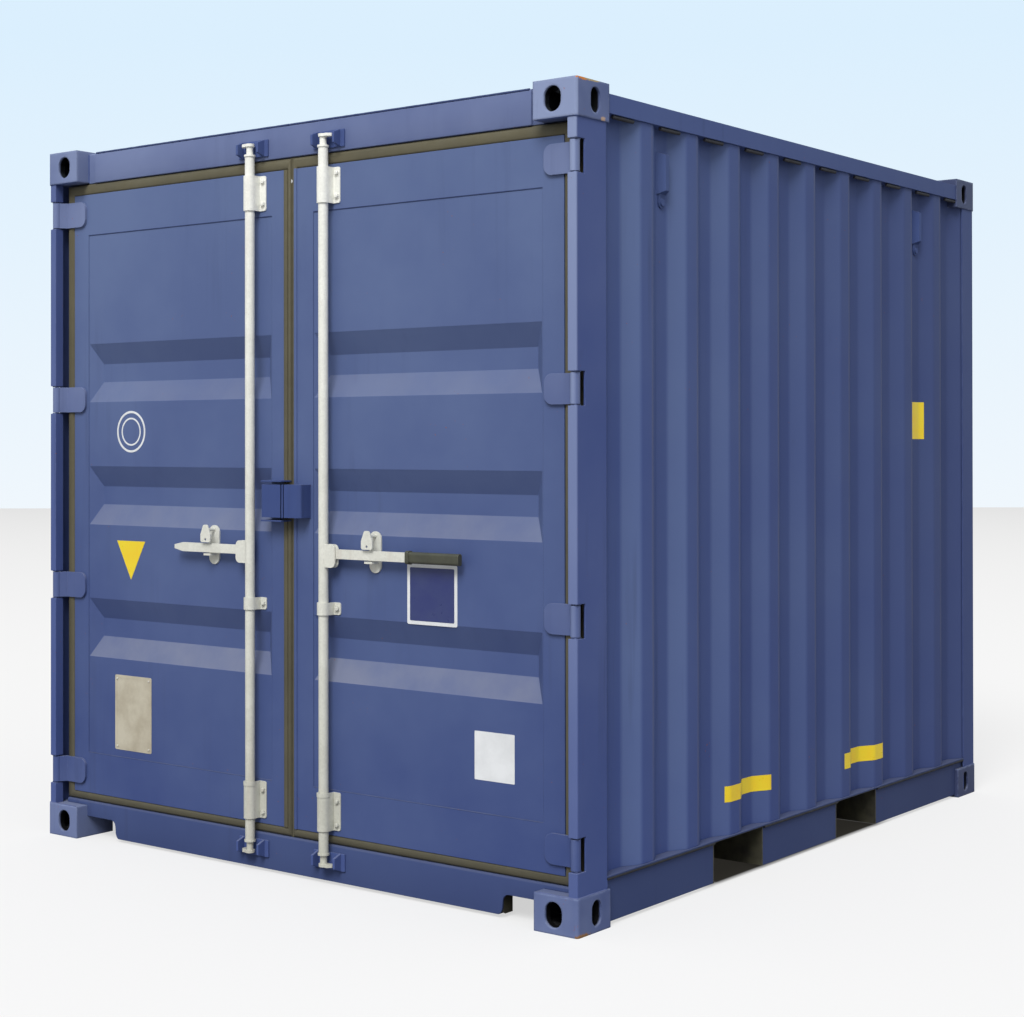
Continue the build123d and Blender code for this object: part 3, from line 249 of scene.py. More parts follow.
@shader_group("Weathered tone", {
    "Paint": COLOUR, "Faded": COLOUR, "Grime": COLOUR, "Cloud size": 1.6, "Clouds": 0.5, "Streaks": 0.35, "Low": 0.0,
    "High": 2.591, "Fade": 0.4, "Front": 0.0, "Turned": 0.0, "Dim": 0.0, "Dust colour": (0.25, 0.26, 0.30, 1.0),
    "Dust": 0.0}, {"Colour": COLOUR, "Dirt": FLOAT})
def weather(graph, given):
    """Sun fade, cloudy tone, run-down dirt and settled dust of a painted surface.

    Fade grows from Low to High. Front fades the door end's outer faces, Turned the folds that face the doors, and
    Dim dirties the part towards the closed end.
    """
    place = graph.place()
    x, y, z = graph.split(place)
    lift = graph.remap(z, given["Low"], given["High"])
    # Painted highlight on the door end's outer faces, stronger higher up and towards the right-hand side.
    front = graph.times(graph.remap(x, DOOR_END + 0.012, DOOR_END + 0.004), given["Front"])
    front = graph.times(front, graph.remap(lift, 0.0, 1.0, 0.08, 1.0))
    front = graph.times(front, graph.remap(y, -0.6, 0.8, 1.0, 0.14))
    shape = graph.add("ShaderNodeNewGeometry").outputs
    # Painted light: folds that face the doors turn paler, more so near the door end.
    turned = graph.remap(graph.split(shape["Normal"])[0], -0.1, -0.42)
    turned = graph.times(graph.times(turned, graph.remap(x, -1.3, 0.9, 1.0, 0.15)), given["Turned"])
    clouds = graph.remap(graph.noise(place, given["Cloud size"], 4.0, 0.6), 0.36, 0.66)
    # Paler higher up, partly sun fade and partly painted top light.
    fade = graph.plus(graph.times(lift, given["Fade"]), graph.times(clouds, given["Clouds"]), True)
    fade = graph.plus(fade, graph.plus(front, turned), True)
    toned = graph.blend(fade, given["Paint"], given["Faded"])
    streak = graph.remap(graph.noise(graph.stretched(place, (22.0, 22.0, 1.1)), 1.0, 3.0, 0.6), 0.55, 0.75)
    streak = graph.times(streak, graph.remap(graph.noise(place, 0.9, 2.0), 0.42, 0.62))
    dirt = graph.times(streak, given["Streaks"], True)
    # Painted shade: darker towards the closed end, in the grime colour.
    dim = graph.times(graph.remap(x, -1.2, 1.4), given["Dim"])
    run_down = graph.blend(graph.math("MAXIMUM", dirt, dim), toned, given["Grime"])
    # Pale dust on upward faces, partly real dust and partly painted light from above.
    upward = graph.remap(graph.split(shape["True Normal"])[2], 0.15, 0.6)
    upward = graph.times(upward, graph.remap(lift, 0.2, 0.8, 1.0, 0.3))
    settled = graph.remap(graph.noise(place, 5.0, 4.0, 0.6), 0.3, 0.65, 0.5, 1.0)
    dust = graph.times(graph.times(upward, settled), given["Dust"], True)
    return graph.blend(dust, run_down, given["Dust colour"]), graph.math("MAXIMUM", dirt, dust)


@shader_group("Chips and stains", {"Under": COLOUR, "Chip": COLOUR, "Stain": COLOUR, "Chip size": 90.0, "Chips": 0.3,
                                   "Stains": 0.3}, {"Colour": COLOUR, "Mask": FLOAT})
def specks(graph, given):
    """Small sharp chips of one colour and the soft stain round them."""
    place = graph.place()
    region = graph.remap(graph.noise(place, 5.0, 3.0, 0.6), 0.56, 0.7)
    fine = graph.noise(place, given["Chip size"], 2.0, 0.5)
    least = graph.minus(0.78, graph.times(given["Chips"], 0.2))
    chip = graph.times(graph.math("GREATER_THAN", fine, least), region)
    stain = graph.remap(graph.noise(graph.stretched(place, (30.0, 30.0, 9.0)), 1.0), 0.62, 0.8)
    stain = graph.times(graph.times(stain, given["Stains"]), region)
    return graph.blend(chip, graph.blend(stain, given["Under"], given["Stain"]), given["Chip"]), chip


@shader_group("Soft worn edges", {"Round": 0.003, "Width": 0.004, "Wear": 0.5}, {"Normal": VECTOR, "Wear": FLOAT})
def worn_edges(graph, given):
    """Corners softened by paint, with the worn line that their ridge gets."""
    soft = graph.add("ShaderNodeBevel", {"Radius": given["Round"]}, samples=4).outputs[0]
    wide = graph.add("ShaderNodeBevel", {"Radius": given["Width"]}, samples=4).outputs[0]
    flat = graph.add("ShaderNodeNewGeometry").outputs["True Normal"]
    edge = graph.remap(graph.vectors("DOT_PRODUCT", wide, flat)["Value"], 0.97, 0.8)
    broken = graph.remap(graph.noise(graph.place(), 28.0, 4.0, 0.7), 0.42, 0.62)
    return soft, graph.times(graph.times(edge, broken), given["Wear"], True)


@shader_group("Rust patch", {"Middle": VECTOR, "Reach": VECTOR}, {"Mask": FLOAT})
def ragged_patch(graph, given):
    """A ragged patch of bare or rusty steel at one place, as a mask."""
    place = graph.place()
    shift = graph.vectors("SUBTRACT", place, given["Middle"])[0]
    away = graph.vectors("LENGTH", graph.vectors("DIVIDE", shift, given["Reach"])[0])["Value"]
    ragged = graph.remap(graph.noise(place, 160.0, 3.0, 0.6), 0.3, 0.7, -0.35, 0.35)
    return (graph.remap(graph.plus(away, ragged), 1.0, 0.7),)


@shader_group("Casting hollow", {"Low": VECTOR, "High": VECTOR}, {"Mask": FLOAT})
def casting_hollow(graph, given):
    """Where a point lies inside a box given by the distances from the middle planes and the ground or the top."""
    x, y, z = graph.split(graph.place())
    from_top = graph.minus(2.591, z)
    spots = (graph.math("ABSOLUTE", x), graph.math("ABSOLUTE", y), graph.math("MINIMUM", z, from_top))
    mask = 1.0
    for spot, low, high in zip(spots, graph.split(given["Low"]), graph.split(given["High"])):
        inward = graph.math("MINIMUM", graph.minus(spot, low), graph.minus(high, spot))
        mask = graph.times(mask, graph.remap(inward, 0.0, 0.006))
    return (mask,)


@shader_group("Rubbed crests", {"Start": 0.0, "Pitch": 0.278}, {"Mask": FLOAT})
def rubbed_crests(graph, given):
    """The rubbed line along each crest of a corrugated side wall, as a mask."""
    place = graph.place()
    run = graph.math("DIVIDE", graph.minus(graph.split(place)[0], given["Start"]), given["Pitch"])
    off = graph.math("ABSOLUTE", graph.minus(graph.math("FRACT", run), 0.5))
    line = graph.minus(1.0, graph.math("DIVIDE", graph.times(off, given["Pitch"]), 0.012), True)
    broken = graph.remap(graph.noise(graph.stretched(place, (40.0, 40.0, 3.0)), 1.0, 4.0, 0.65), 0.4, 0.6, 0.35, 1.0)
    return (graph.times(line, broken),)


@shader_group("Sprayed coat height", {"Waves": 0.7}, {"Height": FLOAT})
def sprayed_coat(graph, given):
    """Height of a sprayed coat: fine orange peel over slow waves in the sheet."""
    place = graph.place()
    wave = graph.times(graph.noise(place, 3.2, 2.0, 0.5), given["Waves"])
    return (graph.plus(graph.times(graph.noise(place, 420.0, 1.0, 0.4), 0.05), wave),)


class Finish(Graph):
    """A material's node tree round its Principled shader."""

    def __init__(self, name):
        self.material = bpy.data.materials.new(name)
        self.material.use_nodes = True
        super().__init__(self.material.node_tree)
        self.shader = self.tree.nodes["Principled BSDF"]

    def done(self, surface, roughness, height, depth, normal=None):
        """Feeds the shader its colour, roughness and bump, with the bump's depth, and returns the material."""
        wires = {"Height": height, "Strength": 1.0, "Distance": depth}
        if normal is not None:
            wires["Normal"] = normal
        bump = self.add("ShaderNodeBump", wires).outputs[0]
        self.feed(self.shader, {"Base Color": surface, "Roughness": roughness, "Normal": bump})
        return self.material


def painted_steel(name, paint, faded, values, patches=(), hollow=None, crests=None):
    """Weathered satin paint. Values hold the strengths that differ between panels and castings.

    Each patch is (middle, reach, colour) of one bare or rusty spot, hollow is (low, high, colour) of dark insides, and
    crests is (start, pitch, colour, strength) of the rubbed lines along a corrugated wall.
    """
    look = settings().paint
    finish = Finish(name)

    def chosen(*labels):
        return {label: values[label] for label in labels}

    tone = weather(finish, {"Paint": paint, "Faded": faded, "Grime": look.grime} | chosen(
        "Clouds", "Streaks", "Fade", "Low", "High", "Front", "Turned", "Dim", "Dust"))
    edges = worn_edges(finish, chosen("Round", "Width", "Wear"))
    worn = finish.blend(edges["Wear"], tone["Colour"], look.worn)
    chips = specks(finish, {"Under": worn, "Chip": look.rust, "Stain": look.grime} | chosen("Chips", "Stains"))
    surface = chips["Colour"]
    for middle, reach, tint in patches:
        spot = ragged_patch(finish, {"Middle": middle, "Reach": reach})
        surface = finish.blend(spot["Mask"], surface, tint)
    # Painted highlight along the crests of a corrugated wall.
    if crests:
        start, pitch, tint, strength = crests
        lines = rubbed_crests(finish, {"Start": start, "Pitch": pitch})
        surface = finish.blend(finish.times(lines["Mask"], strength), surface, tint)
    # Painted shade inside the castings' holes.
    if hollow:
        low, high, tint = hollow
        surface = finish.blend(casting_hollow(finish, {"Low": low, "High": high})["Mask"], surface, tint)
    finish.feed(finish.shader, {"Specular IOR Level": values["Shine"]})
    rough = finish.plus(values["Gloss"], finish.times(tone["Dirt"], 0.3))
    rough = finish.plus(rough, finish.times(chips["Mask"], 0.3), True)
    dented = finish.minus(sprayed_coat(finish, chosen("Waves"))["Height"], finish.times(chips["Mask"], 0.1))
    return finish.done(surface, rough, dented, 0.002, edges["Normal"])


def zinc_coated(name, pale, dull, stain):
    """Galvanised steel: pale cloudy crystals, duller low down, with brown specks."""
    finish = Finish(name)
    place = finish.place()
    tone = weather(finish, {"Paint": dull, "Faded": pale, "Grime": stain, "Cloud size": 14.0, "Clouds": 0.15,
                            "Streaks": 0.25, "Fade": 0.9, "High": 2.4})
    crystals = finish.add("ShaderNodeTexVoronoi", {"Vector": place, "Scale": 150.0}, feature="F1").outputs["Color"]
    toned = finish.blend(1.0, tone["Colour"], finish.remap(crystals, 0.0, 1.0, 0.93, 1.04), "MULTIPLY")
    edges = worn_edges(finish, {"Round": 0.0016, "Width": 0.002, "Wear": 0.2})
    chips = specks(finish, {"Under": toned, "Chip": stain, "Stain": stain, "Chip size": 160.0, "Chips": 0.35,
                            "Stains": 0.5})
    return finish.done(chips["Colour"], finish.remap(crystals, 0.0, 1.0, 0.34, 0.5), finish.noise(place, 160.0, 2.0),
                       0.0006, edges["Normal"])


def floor_boards(name, wood, dark, sheet_length):
    """Sealed hardwood plywood in sheets, with long grain and dark seams."""
    finish = Finish(name)
    place = finish.place()
    grain = finish.noise(finish.stretched(place, (1.5, 60.0, 20.0)), 2.2, 6.0, 0.65)
    tone = weather(finish, {"Paint": wood, "Faded": dark, "Grime": dark, "Cloud size": 2.2, "Clouds": 0.5,
                            "Streaks": 0.1, "Fade": 0.0})
    grained = finish.blend(finish.remap(grain, 0.42, 0.62, 0.0, 0.6), tone["Colour"], dark)
    wrapped = finish.math("PINGPONG", finish.plus(finish.split(place)[0], 0.3), sheet_length / 2)
    seam = finish.math("LESS_THAN", wrapped, 0.002)
    return finish.done(finish.blend(seam, grained, (0.01, 0.008, 0.006)), finish.remap(grain, 0.3, 0.7, 0.45, 0.65),
                       finish.minus(grain, seam), 0.001)


# Arguments that plain coats share. Rough is (noise scale, least, most) and grain is (scale, detail, depth).
RUBBER = {"tone": {"Cloud size": 2.5, "Clouds": 0.3, "Streaks": 0.08, "Fade": 0.55, "High": 2.4},
          "edge": {"Round": 0.002, "Width": 0.003, "Wear": 0.5}, "rough": (30.0, 0.65, 0.85),
          "grain": (260.0, 3.0, 0.0008)}
PLASTIC = {"tone": {"Cloud size": 16.0, "Clouds": 0.7, "Streaks": 0.3, "Fade": 0.0},
           "edge": {"Round": 0.003, "Width": 0.004, "Wear": 0.6}, "rough": (60.0, 0.4, 0.6),
           "grain": (700.0, 2.0, 0.0005)}
FILM = {"tone": {"Cloud size": 12.0, "Clouds": 0.6, "Streaks": 0.4, "Fade": 0.0}, "grain": (22.0, 3.0, 0.0006)}


def plain_coat(name, base, faded, dirt, tone, rough, grain, edge=None, metallic=0.0):
    """Rubber, moulded plastic or printed film: cloudy tone, scuffed corners where edge is given, and a fine grain."""
    finish = Finish(name)
    place = finish.place()
    surface = weather(finish, {"Paint": base, "Faded": faded, "Grime": dirt, **tone})["Colour"]
    normal = None
    if edge:
        edges = worn_edges(finish, edge)
        surface, normal = finish.blend(edges["Wear"], surface, dirt), edges["Normal"]
    finish.feed(finish.shader, {"Metallic": metallic})
    scale, least, most = rough
    roughness = finish.remap(finish.noise(place, scale), 0.3, 0.7, least, most)
    return finish.done(surface, roughness, finish.noise(place, *grain[:2]), grain[2], normal)


def colour_choice(name, description, values):
    """A colour property with its default."""
    return FloatVectorProperty(name=name, description=description, subtype="COLOR", size=3, min=0.0, max=1.0,
                               default=values)


def length_choice(name, description, value):
    """A length property with its default, in metres."""
    return FloatProperty(name=name, description=description, unit="LENGTH", min=0.0, default=value, precision=4)


def share_choice(name, description, value):
    """A strength from nothing to full."""
    return FloatProperty(name=name, description=description, subtype="FACTOR", min=0.0, max=1.0, default=value)


class PaintSettings(bpy.types.PropertyGroup):
    """Colours and wear of the container's finishes."""

    paint: colour_choice("Paint", "Blue of a surface that has kept its colour", srgb(54, 69, 119))
    # A lighter copy of the door paint: painted light for the walls, posts and frame, which the lamps light less than
    # the doors.
    wall_paint: colour_choice("Wall paint", "Blue of the walls and posts", srgb(66, 81, 134))
    low_paint: colour_choice("Low paint", "Blue of the rails near the ground", srgb(58, 70, 110))
    # Also the colour towards which the painted top light and the lit folds of the walls blend.
    faded: colour_choice("Faded paint", "Blue of a surface bleached by the sun", srgb(96, 112, 150))
    # Also the colour of the painted shade towards the closed end.
    grime: colour_choice("Grime", "Dirt washed down the panels", srgb(48, 52, 75))
    # Also the colour towards which the painted highlights and painted top light of posts, hinges, castings and header
    # blend.
    worn: colour_choice("Worn edge", "Colour of a rubbed edge", srgb(134, 146, 180))
    # Also the painted shade in the fork pockets and on the sill's return plates.
    underseal: colour_choice("Underseal", "Dark coat of the understructure", srgb(34, 31, 26))
    rust: colour_choice("Rust", "Colour of bare steel spots", srgb(150, 78, 38))
    zinc: colour_choice("Zinc", "Bright zinc coat", srgb(240, 240, 232))
    dull_zinc: colour_choice("Dull zinc", "Zinc coat near the ground", srgb(178, 178, 166))
    rubber: colour_choice("Seal", "Weathered seal", srgb(66, 62, 48))
    pale_rubber: colour_choice("Bleached seal", "Seal where the light has paled it", srgb(98, 92, 70))
    # Also the colour of the dark beads of painted shade in the side recesses.
    sealant: colour_choice("Sealant", "Dirty sealant along the rails", srgb(34, 33, 38))
    wood: colour_choice("Boards", "Sealed floor boards", srgb(148, 104, 66))
    plastic: colour_choice("Plastic", "Grip and other dark mouldings", srgb(60, 60, 48))
    wear: share_choice("Edge wear", "How far rubbed edges show", 0.5)
    streaks: share_choice("Streaks", "How strongly dirt runs down", 0.35)
    chips: share_choice("Chips", "How many small rust spots there are", 0.3)


class WallSettings(bpy.types.PropertyGroup):
    """Folds of the corrugated walls and the pressed panels."""

    sheet: length_choice("Sheet", "Thickness of the wall sheets", 0.002)
    first_side: length_choice("First recess", "From the door end to the middle of the first side recess", 0.271)
    side_pitch: length_choice("Side pitch", "From one side recess to the next", 0.278)
    side_count: IntProperty(name="Side recesses", description="How many recesses a side wall has", min=1, default=10)
    side_flat: length_choice("Side flat", "Width of a side recess's floor", 0.070)
    side_slope: length_choice("Side slope", "Run of a side recess's flank", 0.068)
    side_depth: length_choice("Side depth", "Depth of a side recess", 0.036)
    side_bend: length_choice("Side bend", "Radius of the side walls' bends", 0.045)
    end_pitch: length_choice("End pitch", "From one end recess to the next", 0.250)
    end_count: IntProperty(name="End recesses", description="How many recesses the end wall has", min=1, default=9)
    end_flat: length_choice("End flat", "Width of an end recess's floor", 0.110)
    end_slope: length_choice("End slope", "Run of an end recess's flank", 0.018)
    end_depth: length_choice("End depth", "Depth of an end recess", 0.046)
    end_bend: length_choice("End bend", "Radius of the end wall's bends", 0.012)
    pocket_width: length_choice("Pocket width", "Width of a fork pocket along the side", 0.342)
    panel_bend: length_choice("Panel bend", "Width of the rounded folds of the door panels", 0.009)
    roof_bend: length_choice("Roof bend", "Width of the rounded folds of the roof", 0.006)


class FixingSettings(bpy.types.PropertyGroup):
    """Sizes of bolts, rivets, screws and weld beads."""

    bolt_radius: length_choice("Bolt radius", "Half the width of a bolt head", 0.0085)
    bolt_height: length_choice("Bolt height", "Rise of a bolt head", 0.0055)
    rivet_radius: length_choice("Rivet radius", "Half the width of a plate's rivet", 0.0042)
    rivet_height: length_choice("Rivet height", "Rise of a plate's rivet", 0.0022)
    screw_radius: length_choice("Floor screw radius", "Half the width of a floor screw's head", 0.0075)
    weld_radius: length_choice("Weld radius", "Half the width of a weld bead", 0.0034)
    weld_ripple: length_choice("Weld ripple", "Length of one ripple of a weld bead", 0.006)
    weld_sides: IntProperty(name="Weld sides", description="Corners of a weld bead's section", min=5, max=12,
                            default=6)


class LabelSettings(bpy.types.PropertyGroup):
    """Blank plates, stickers and patches."""

    film: length_choice("Film", "Thickness of a sticker", 0.0006)
    plate: length_choice("Plate", "Thickness of the metal plate", 0.0012)
    plate_colour: colour_choice("Plate colour", "Dull metal of the plate", srgb(204, 196, 176))
    white: colour_choice("White", "Blank white sticker and rings", srgb(222, 224, 226))
    yellow: colour_choice("Yellow", "Plain yellow patches", srgb(228, 203, 38))
    navy: colour_choice("Navy", "Field of the bordered sticker", srgb(42, 50, 104))
    border: length_choice("Border", "White edge of the bordered sticker", 0.012)


class StageSettings(bpy.types.PropertyGroup):
    """Floor, sky, light and the photograph's view."""

    floor: colour_choice("Floor", "Pale floor", srgb(241, 241, 241))
    floor_far: colour_choice("Far floor", "Floor at its far edge", srgb(219, 219, 219))
    bounce: share_choice("Bounce", "How much light the floor sends back up", 0.3)
    sky_low: colour_choice("Low sky", "Backdrop at the floor's edge", srgb(240, 247, 253))
    sky_high: colour_choice("High sky", "Backdrop well above", srgb(219, 239, 254))
    light: FloatProperty(name="Sky light", description="Strength of the even light", min=0.0, default=0.7)
    sun: FloatProperty(name="Sun", description="Strength of the soft main light", min=0.0, default=2.65)
    eye: FloatVectorProperty(name="Eye", description="Place of the camera", subtype="XYZ", unit="LENGTH",
                             default=(-6.0885, -4.3611, 1.4903))


@contextmanager
def editing(data):
    """A mesh opened for changes, which are written back at the end."""
    shape = bmesh.new()
    shape.from_mesh(data)
    yield shape
    shape.to_mesh(data)
    shape.free()


def new_object(name, data):
    """A new object at the origin."""
    piece = bpy.data.objects.new(name, data)
    bpy.context.scene.collection.objects.link(piece)
    return piece


def shaded(piece, angle):
    """Shades a mesh smooth up to an angle in degrees."""
    piece.data.polygons.foreach_set("use_smooth", [True] * len(piece.data.polygons))
    piece.data.set_sharp_from_angle(angle=math.radians(angle))
    return piece


def mesh_object(name, points, faces, material, angle=None):
    """A new mesh object with its faces turned outwards, smooth up to an angle in degrees if one is given."""
    data = bpy.data.meshes.new(name)
    data.from_pydata([tuple(p) for p in points], [], faces)
    data.materials.append(material)
    with editing(data) as shape:
        bmesh.ops.remove_doubles(shape, verts=shape.verts, dist=1e-6)
        bmesh.ops.recalc_face_normals(shape, faces=shape.faces)
    piece = new_object(name, data)
    return shaded(piece, angle) if angle else piece


def settle(piece, body, node=None):
    """Makes a piece ride on its body under a slot of the record, in place of a solid if one is given."""
    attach(piece, body)
    if node:
        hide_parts(node)
    return piece


def dress(name, shape, finish, body, angle=None, node=None):
    """A piece from points and faces, in one of the finishes, that rides on a body."""
    return settle(mesh_object(name, *shape, FINISH[finish], angle), body, node)


def evaluated(carrier):
    """The mesh that an object's modifiers make."""
    graph = bpy.context.evaluated_depsgraph_get()
    return bpy.data.meshes.new_from_object(carrier.evaluated_get(graph), depsgraph=graph)


def lofted(loops, closed=False):
    """Points and faces carried through loops of equally many points, with capped ends or back to the first loop."""
    count = len(loops[0])
    points = [point for loop in loops for point in loop]
    faces = [] if closed else [tuple(range(count)), tuple(range(len(points) - count, len(points)))]
    for start in range(0, len(points) - (0 if closed else count), count):
        following = (start + count) % len(points)
        for i in range(count):
            j = (i + 1) % count
            faces.append((start + i, start + j, following + j, following + i))
    return points, faces


def along_y(section, levels):
    """A section of (x, z) pairs carried straight along Y from one level to the next."""
    return lofted([[(x, y, z) for x, z in section] for y in levels])


def rounded_outline(a_low, a_high, z_low, z_high, radius, steps=4):
    """A rectangle with rounded corners."""
    outline = []
    corners = [(a_high - radius, z_high - radius, 0), (a_low + radius, z_high - radius, 1),
               (a_low + radius, z_low + radius, 2), (a_high - radius, z_low + radius, 3)]
    for a, z, quarter in corners:
        for step in range(steps + 1):
            angle = math.pi / 2 * (quarter + step / steps)
            outline.append((a + radius * math.cos(angle), z + radius * math.sin(angle)))
    return outline


def growing_tree(name, inputs):
    """Turns a function of (graph, inputs), which returns a shape, into one that gives its geometry tree, built once."""
    def prepare(build):
        built = []

        def tree():
            if not built:
                graph = Graph(bpy.data.node_groups.new(name, "GeometryNodeTree"))
                given, sink = graph.sockets({"Geometry": GEOMETRY, **inputs, "Material": MATERIAL},
                                            {"Geometry": GEOMETRY})
                real = graph.add("GeometryNodeRealizeInstances", {0: build(graph, given)}).outputs[0]
                done = graph.add("GeometryNodeSetMaterial", {"Geometry": real, "Material": given["Material"]})
                graph.feed(sink, {0: done.outputs[0]})
                built.append(graph.tree)
            return built[0]

        tree.__doc__ = build.__doc__
        return tree

    return prepare


@growing_tree("Fastener heads", {"Radius": 0.008, "Rise": 0.005, "Sides": INT, "Washer": 1.35, "Washer rise": 0.0015,
                                 "Aim": VECTOR, "Seed": INT})
def head_tree(graph, given):
    """Fastener heads: each point of the mesh gets a washer, a faceted or round head and a chamfer."""
    radius, rise, sides, under = given["Radius"], given["Rise"], given["Sides"], given["Washer rise"]
    washer = graph.add("GeometryNodeMeshCylinder", {
        "Vertices": 16, "Radius": graph.times(radius, given["Washer"]), "Depth": under}, fill_type="NGON")
    head = graph.add("GeometryNodeMeshCylinder", {"Vertices": sides, "Radius": radius, "Depth": rise},
                     fill_type="NGON")
    crown = graph.add("GeometryNodeMeshCone", {
        "Vertices": sides, "Radius Bottom": radius, "Radius Top": graph.times(radius, 0.72),
        "Depth": graph.times(rise, 0.3)}, fill_type="NGON")
    fastener = graph.joined(
        washer.outputs["Mesh"], graph.lifted(head.outputs["Mesh"], graph.plus(graph.times(rise, 0.5), under)),
        graph.lifted(crown.outputs["Mesh"], graph.plus(rise, under)))
    turn = graph.add("FunctionNodeRandomValue", {2: 0.0, 3: FULL_TURN, "Seed": given["Seed"]}, data_type="FLOAT")
    turns = [graph.add("FunctionNodeEulerToRotation", {0: euler}).outputs[0]
             for euler in (given["Aim"], graph.upright(turn.outputs[1]))]
    aimed = graph.add("FunctionNodeRotateRotation", dict(enumerate(turns)), rotation_space="LOCAL").outputs[0]
    dots = graph.add("GeometryNodeMeshToPoints", {"Mesh": given["Geometry"]}).outputs[0]
    return graph.add("GeometryNodeInstanceOnPoints", {"Points": dots, "Instance": fastener,
                                                      "Rotation": aimed}).outputs[0]


@growing_tree("Weld bead", {"Radius": 0.0034, "Ripple": 0.006, "Sides": INT, "Unevenness": 0.3})
def weld_tree(graph, given):
    """A rippled bead along each edge chain of the mesh."""
    line = graph.add("GeometryNodeMeshToCurve", {"Mesh": given["Geometry"]}).outputs[0]
    even = graph.add("GeometryNodeResampleCurve", {"Curve": line, "Length": graph.times(given["Ripple"], 0.5)},
                     mode="LENGTH").outputs[0]
    travelled = graph.add("GeometryNodeSplineParameter").outputs["Length"]
    wave = graph.math("SINE", graph.math("DIVIDE", graph.times(travelled, FULL_TURN), given["Ripple"]))
    place = graph.add("GeometryNodeInputPosition").outputs[0]
    wander = graph.add("ShaderNodeTexNoise", {"Vector": place, "Scale": 35.0, "Detail": 2.0}).outputs[0]
    uneven = graph.times(graph.plus(graph.times(wave, 0.3), wander), given["Unevenness"])
    size = graph.times(given["Radius"], graph.minus(1.0, uneven))
    section = graph.add("GeometryNodeCurvePrimitiveCircle", {"Resolution": given["Sides"], "Radius": 1.0},
                        mode="RADIUS").outputs[0]
    bead = graph.add("GeometryNodeCurveToMesh", {"Curve": even, "Profile Curve": section, "Scale": size,
                                                 "Fill Caps": True}).outputs[0]
    return graph.add("GeometryNodeSetShadeSmooth", {0: bead}).outputs[0]


@growing_tree("Bent sheet", {"Rise": 2.0, "Bend radius": 0.04, "Bend steps": INT, "Sheet": 0.002})
def bent_tree(graph, given):
    """Sheet metal folded along the base line, with rounded bends and a real thickness."""
    line = graph.add("GeometryNodeMeshToCurve", {"Mesh": given["Geometry"]}).outputs[0]
    bent = graph.add("GeometryNodeFilletCurve", {"Curve": line, "Count": given["Bend steps"],
                                                 "Radius": given["Bend radius"], "Limit Radius": True}, mode="POLY")
    wire = graph.add("GeometryNodeCurveToMesh", {"Curve": bent.outputs[0]}).outputs[0]
    raised = graph.add("GeometryNodeExtrudeMesh", {"Mesh": wire, "Offset": graph.upright(given["Rise"]),
                                                   "Offset Scale": 1.0}, mode="EDGES").outputs["Mesh"]
    backed = graph.add("GeometryNodeExtrudeMesh", {"Mesh": raised, "Offset Scale": given["Sheet"],
                                                   "Individual": False}, mode="FACES").outputs["Mesh"]
    flipped = graph.add("GeometryNodeFlipFaces", {0: raised}).outputs[0]
    return graph.add("GeometryNodeMergeByDistance", {"Geometry": graph.joined(backed, flipped),
                                                     "Distance": 0.00001}).outputs[0]


def grown(name, points, edges, tree, sizes):
    """Runs a geometry tree on bare points or edges and returns the result as a plain mesh object."""
    seed = bpy.data.meshes.new(name + "_seed")
    seed.from_pydata([tuple(p) for p in points], edges, [])
    carrier = new_object(name + "_seed", seed)
    modifier = carrier.modifiers.new("Grow", "NODES")
    modifier.node_group = tree()
    for item in modifier.node_group.interface.items_tree:
        if item.in_out == "INPUT" and item.name in sizes:
            modifier[item.identifier] = sizes[item.name]
    data = evaluated(carrier)
    if not data.polygons:
        raise RuntimeError(f"{name} came out empty")
    bpy.data.objects.remove(carrier)
    bpy.data.meshes.remove(seed)
    data.name = name
    return new_object(name, data)


def heads(name, points, body, radius, rise, sides, aim, washer=(1.35, 0.0015)):
    """Zinc-coated fastener heads at the given places. The washer is its share of the radius and its rise."""
    sizes = {"Radius": radius, "Rise": rise, "Sides": sides, "Aim": aim, "Washer": washer[0],
             "Washer rise": washer[1], "Seed": 3, "Material": FINISH["galvanised"]}
    return settle(grown(name, points, [], head_tree, sizes), body)


def welds(name, lines, body, finish, radius=None):
    """Weld beads along the given lines, as one plain mesh that rides on a body."""
    fixings = settings().fixings
    points, edges = [], []
    for line in lines:
        start = len(points)
        points.extend(line)
        edges.extend((start + i, start + i + 1) for i in range(len(line) - 1))
    sizes = {"Radius": radius or fixings.weld_radius, "Ripple": fixings.weld_ripple, "Sides": fixings.weld_sides,
             "Unevenness": 0.3, "Material": FINISH[finish]}
    return settle(grown(name, points, edges, weld_tree, sizes), body)


def folded_wall(name, corners, node, radius, sheet):
    """A corrugated wall folded along its corners, in place of a solid that it may not reach out of."""
    low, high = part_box(node)
    points = [(x, y, low.z) for x, y in corners]
    edges = [(i, i + 1) for i in range(len(points) - 1)]
    sizes = {"Rise": high.z - low.z, "Bend radius": radius, "Bend steps": 6, "Sheet": sheet,
             "Material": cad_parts[node].material_slots[0].material}
    piece = grown(name, points, edges, bent_tree, sizes)
    with editing(piece.data) as shape:
        bmesh.ops.recalc_face_normals(shape, faces=shape.faces)
    for vert in piece.data.vertices:
        if any(not low[axis] - 0.0005 < vert.co[axis] < high[axis] + 0.0005 for axis in range(3)):
            raise RuntimeError(f"{name} reaches outside {node} at {tuple(vert.co)}")
    return settle(shaded(piece, 40), "frame", node)


